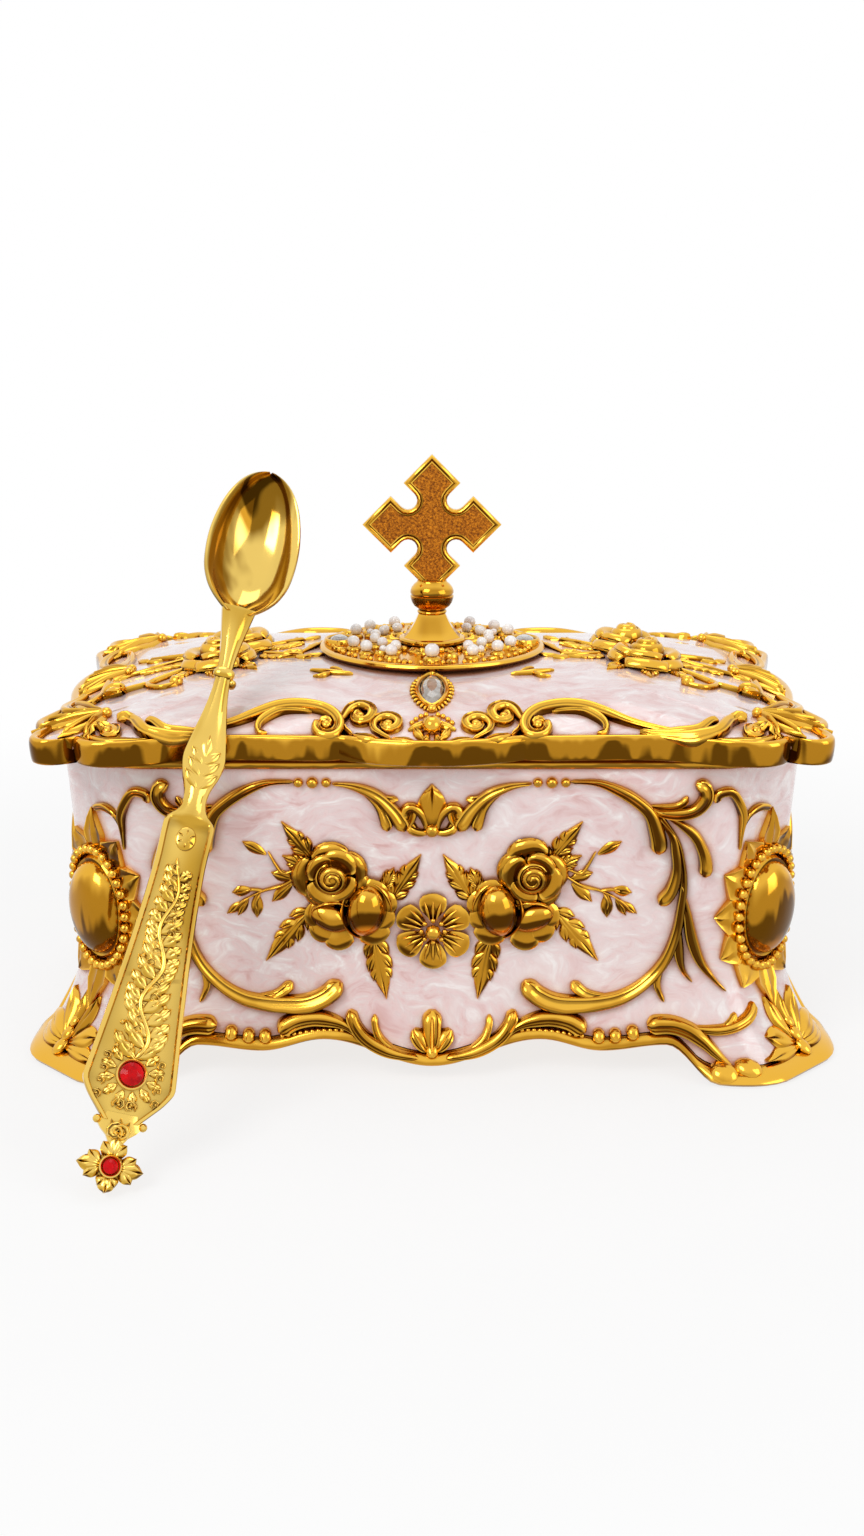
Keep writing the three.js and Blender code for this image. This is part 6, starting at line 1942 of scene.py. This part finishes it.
def spoon_engraving():
    """Foliage that fills the handle's sunk field: a waving stem, curls in its bends and leaves between."""
    drawing = Drawing()
    stem = []
    for k in range(19):
        room = field_half(k) - 1.4
        stem.append((room * 0.3 * math.sin(0.95 * k), ENGRAVING_START + ENGRAVING_PITCH * k))
    scroll(drawing, stem, 0.8, 0.75, ROUND, start=0.9, finish=0.6)
    for k, (x, y) in enumerate(stem[:17]):
        room = field_half(k) - 1.2
        for side in (1, -1):
            reach = room - side * x
            leaf(drawing, x, y, 90 - side * 58, min(6.4, reach * 1.12), 2.5, 0.85, bend=side * 22, lobes=2)
            if reach > room:
                radius = min(1.3, reach * 0.24)
                root = x + side * reach * 0.3
                volute(drawing, root, y + 1.4, 90 - side * 86, radius, side, 0.55, 0.65, 1.0)
                ball(drawing, x + side * reach * 0.72, y - 0.4, 0.42)
    for place, heading in oval(12, 3.0, 3.0, 15):
        leaf(drawing, place.x, LARGE_RUBY + place.y, heading, 2.9, 1.8, 0.8, lobes=2)
    for side in (1, -1):
        volute(drawing, side * 2.0, 15.4, 90 - side * 30, 1.2, side, 0.6, 0.65)
        for k in range(4):
            x, y = side * (4.9 - 0.1 * k), 16.6 + 2.3 * k
            volute(drawing, x, y, 90 + side * 60, 0.8, -side, 0.5, 0.55, 1.0)
    dome(drawing, 0, ENGRAVED_KNOT, 1.9, 2.4, 0, 0.45, 20)
    for place, heading in oval(6, 0.3, 0.3, 30):
        leaf(drawing, place.x, ENGRAVED_KNOT + place.y, heading, 1.5, 0.8, 0.75)
    return drawing


def stem_leaves():
    """Leaves cut into the swelling of the stem."""
    drawing = Drawing()
    for y, length in ((76, 4.6), (78.6, 4.4), (81, 4.0)):
        for side in (1, -1):
            leaf(drawing, side * 0.2, y, 90 - side * 34, length, 1.7, 0.5, bend=side * -10)
    leaf(drawing, 0, 82.4, 90, 4.6, 2.0, 0.55)
    return drawing


def ruby_seat(y, radius):
    """A rounded collar that holds a round stone."""
    drawing = Drawing()
    profile = [(0, -0.4), (0.1, 0.6), (0.35, 0.85), (0.6, 0.6), (0.65, -0.4)]

    def outline_at(out):
        return [(place.x, y + place.y) for place, _ in oval(28, radius + out, radius + out)]

    rim(drawing, outline_at, profile, corner_at)
    return drawing


def round_ruby(name, node, y, radius, low):
    """A round stone: a disc that is bevelled, with its table inset and raised."""
    clear_selection()
    bpy.ops.mesh.primitive_cylinder_add(vertices=16, radius=radius * MM, depth=0.8 * MM)
    stone = bpy.context.active_object
    stone.name = name
    bpy.ops.object.mode_set(mode="EDIT")
    bpy.ops.mesh.select_all(action="DESELECT")
    bpy.ops.object.mode_set(mode="OBJECT")
    for face in stone.data.polygons:
        face.select = face.normal.z > 0.9
    bpy.ops.object.mode_set(mode="EDIT")
    bpy.ops.mesh.inset(thickness=radius * 0.28 * MM)
    bpy.ops.transform.translate(value=(0, 0, 0.35 * MM))
    bpy.ops.mesh.inset(thickness=radius * 0.3 * MM)
    bpy.ops.transform.translate(value=(0, 0, 0.25 * MM))
    bpy.ops.object.mode_set(mode="OBJECT")
    for vertex in stone.data.vertices:
        x, up, out = vertex.co / MM
        vertex.co = (spoon_place(x, y + up, low + out) - Vector((0, 0, GROUND))) * MM
    settle(stone, "spoon", "ruby", RUBY, 12, node)


def dress_spoon():
    field = HANDLE_FACE - FIELD_DEPTH
    knop = Drawing()
    dome(knop, 0, 100.2, 2.1, 1.5, 0, 1.1, 20)
    dome(knop, 1.9, 98.6, 0.9, 0.9, -0.5, 1.3, 12)
    drawing = on_spoon(spoon_handle())
    for relief, low in (
        (spoon_terminal(), 0), (spoon_engraving(), field), (stem_leaves(), HANDLE_FACE + 0.15),
        (ruby_seat(LARGE_RUBY, 2.15), field + 0.2), (ruby_seat(SMALL_RUBY, 1.4), 0.7), (knop, 0.5),
    ):
        drawing.merge(on_spoon(relief, low))
    drawing.piece("spoon_handle", "spoon", "spoon_casting", "spoon_gold", smooth=35)
    on_spoon(spoon_bowl()).piece("spoon_bowl", "spoon", slot="spoon_gold", finish=BOWL_GOLD, smooth=50)
    round_ruby("ruby_large", "spoon_ruby_large", LARGE_RUBY, 2.1, HANDLE_FACE + 0.1)
    round_ruby("ruby_small", "spoon_ruby_small", SMALL_RUBY, 1.35, 1.0)


# Room and light

WORLD_LIGHT = 0.5
FLOOR_SIZE = 8
FLOOR_WHITE = 0.78
FADE = (0.14, 0.30)
LAMP_AIM = Vector((0, 0, 0.03))


def seen_directly(tree):
    """1 for camera rays and for what metal and glass show, 0 for the light that falls on the object."""
    path = tree.nodes.new("ShaderNodeLightPath")
    shown = math_node(tree, "MAXIMUM", path.outputs["Is Camera Ray"], path.outputs["Is Glossy Ray"])
    return math_node(tree, "MAXIMUM", shown, path.outputs["Is Transmission Ray"])


def make_room():
    """A pale floor that keeps the object's shadow and fades to white further out."""
    bpy.ops.mesh.primitive_plane_add(size=FLOOR_SIZE, location=(0, 0, -GROUND * MM))
    floor = bpy.context.active_object
    floor.name = "floor"
    material, tree, shader = new_material("pale_floor", {"Roughness": 0.9})
    clouded(tree, shader, 40, 2, 0.5, [(0.3, 0.88), (0.7, 0.9)])
    floor.data.materials.append(material)
    glow = tree.nodes.new("ShaderNodeEmission")
    glow.inputs["Color"].default_value = (1, 1, 1, 1)
    away = tree.nodes.new("ShaderNodeVectorMath")
    away.operation = "LENGTH"
    tree.links.new(place_in(tree), away.inputs[0])
    distance = mask(tree, away.outputs["Value"], *FADE)
    fade = math_node(tree, "MULTIPLY_ADD", distance, 1 - FLOOR_WHITE, FLOOR_WHITE)
    mix = tree.nodes.new("ShaderNodeMixShader")
    tree.links.new(math_node(tree, "MULTIPLY", seen_directly(tree), fade), mix.inputs["Fac"])
    tree.links.new(shader.outputs[0], mix.inputs[1])
    tree.links.new(glow.outputs[0], mix.inputs[2])
    tree.links.new(mix.outputs[0], tree.nodes["Material Output"].inputs["Surface"])


def make_world():
    world = bpy.data.worlds.new("studio")
    bpy.context.scene.world = world
    world.use_nodes = True
    tree = world.node_tree
    back = tree.nodes["Background"]
    back.inputs["Color"].default_value = (1, 1, 1, 1)
    strength = math_node(tree, "MULTIPLY_ADD", seen_directly(tree), 1 - WORLD_LIGHT, WORLD_LIGHT)
    tree.links.new(strength, back.inputs["Strength"])


def add_lamp(name, place, size, power):
    """A square lamp that looks at the middle of the object."""
    data = bpy.data.lights.new(name, "AREA")
    data.size = size
    data.energy = power
    lamp = bpy.data.objects.new(name, data)
    bpy.context.scene.collection.objects.link(lamp)
    lamp.location = place
    lamp.rotation_euler = (LAMP_AIM - Vector(place)).to_track_quat("-Z", "Y").to_euler()


make_camera()
make_room()
make_world()
add_lamp("key", (-0.5, -0.7, 0.8), 0.5, 4.5)
add_lamp("fill", (0.8, -0.5, 0.4), 0.6, 2.2)
add_lamp("top", (0, 0.3, 1.0), 0.6, 1.5)
dress_cad_nodes()
dress_body()
dress_lid()
dress_spoon()

bpy.context.scene.view_settings.view_transform = "Standard"
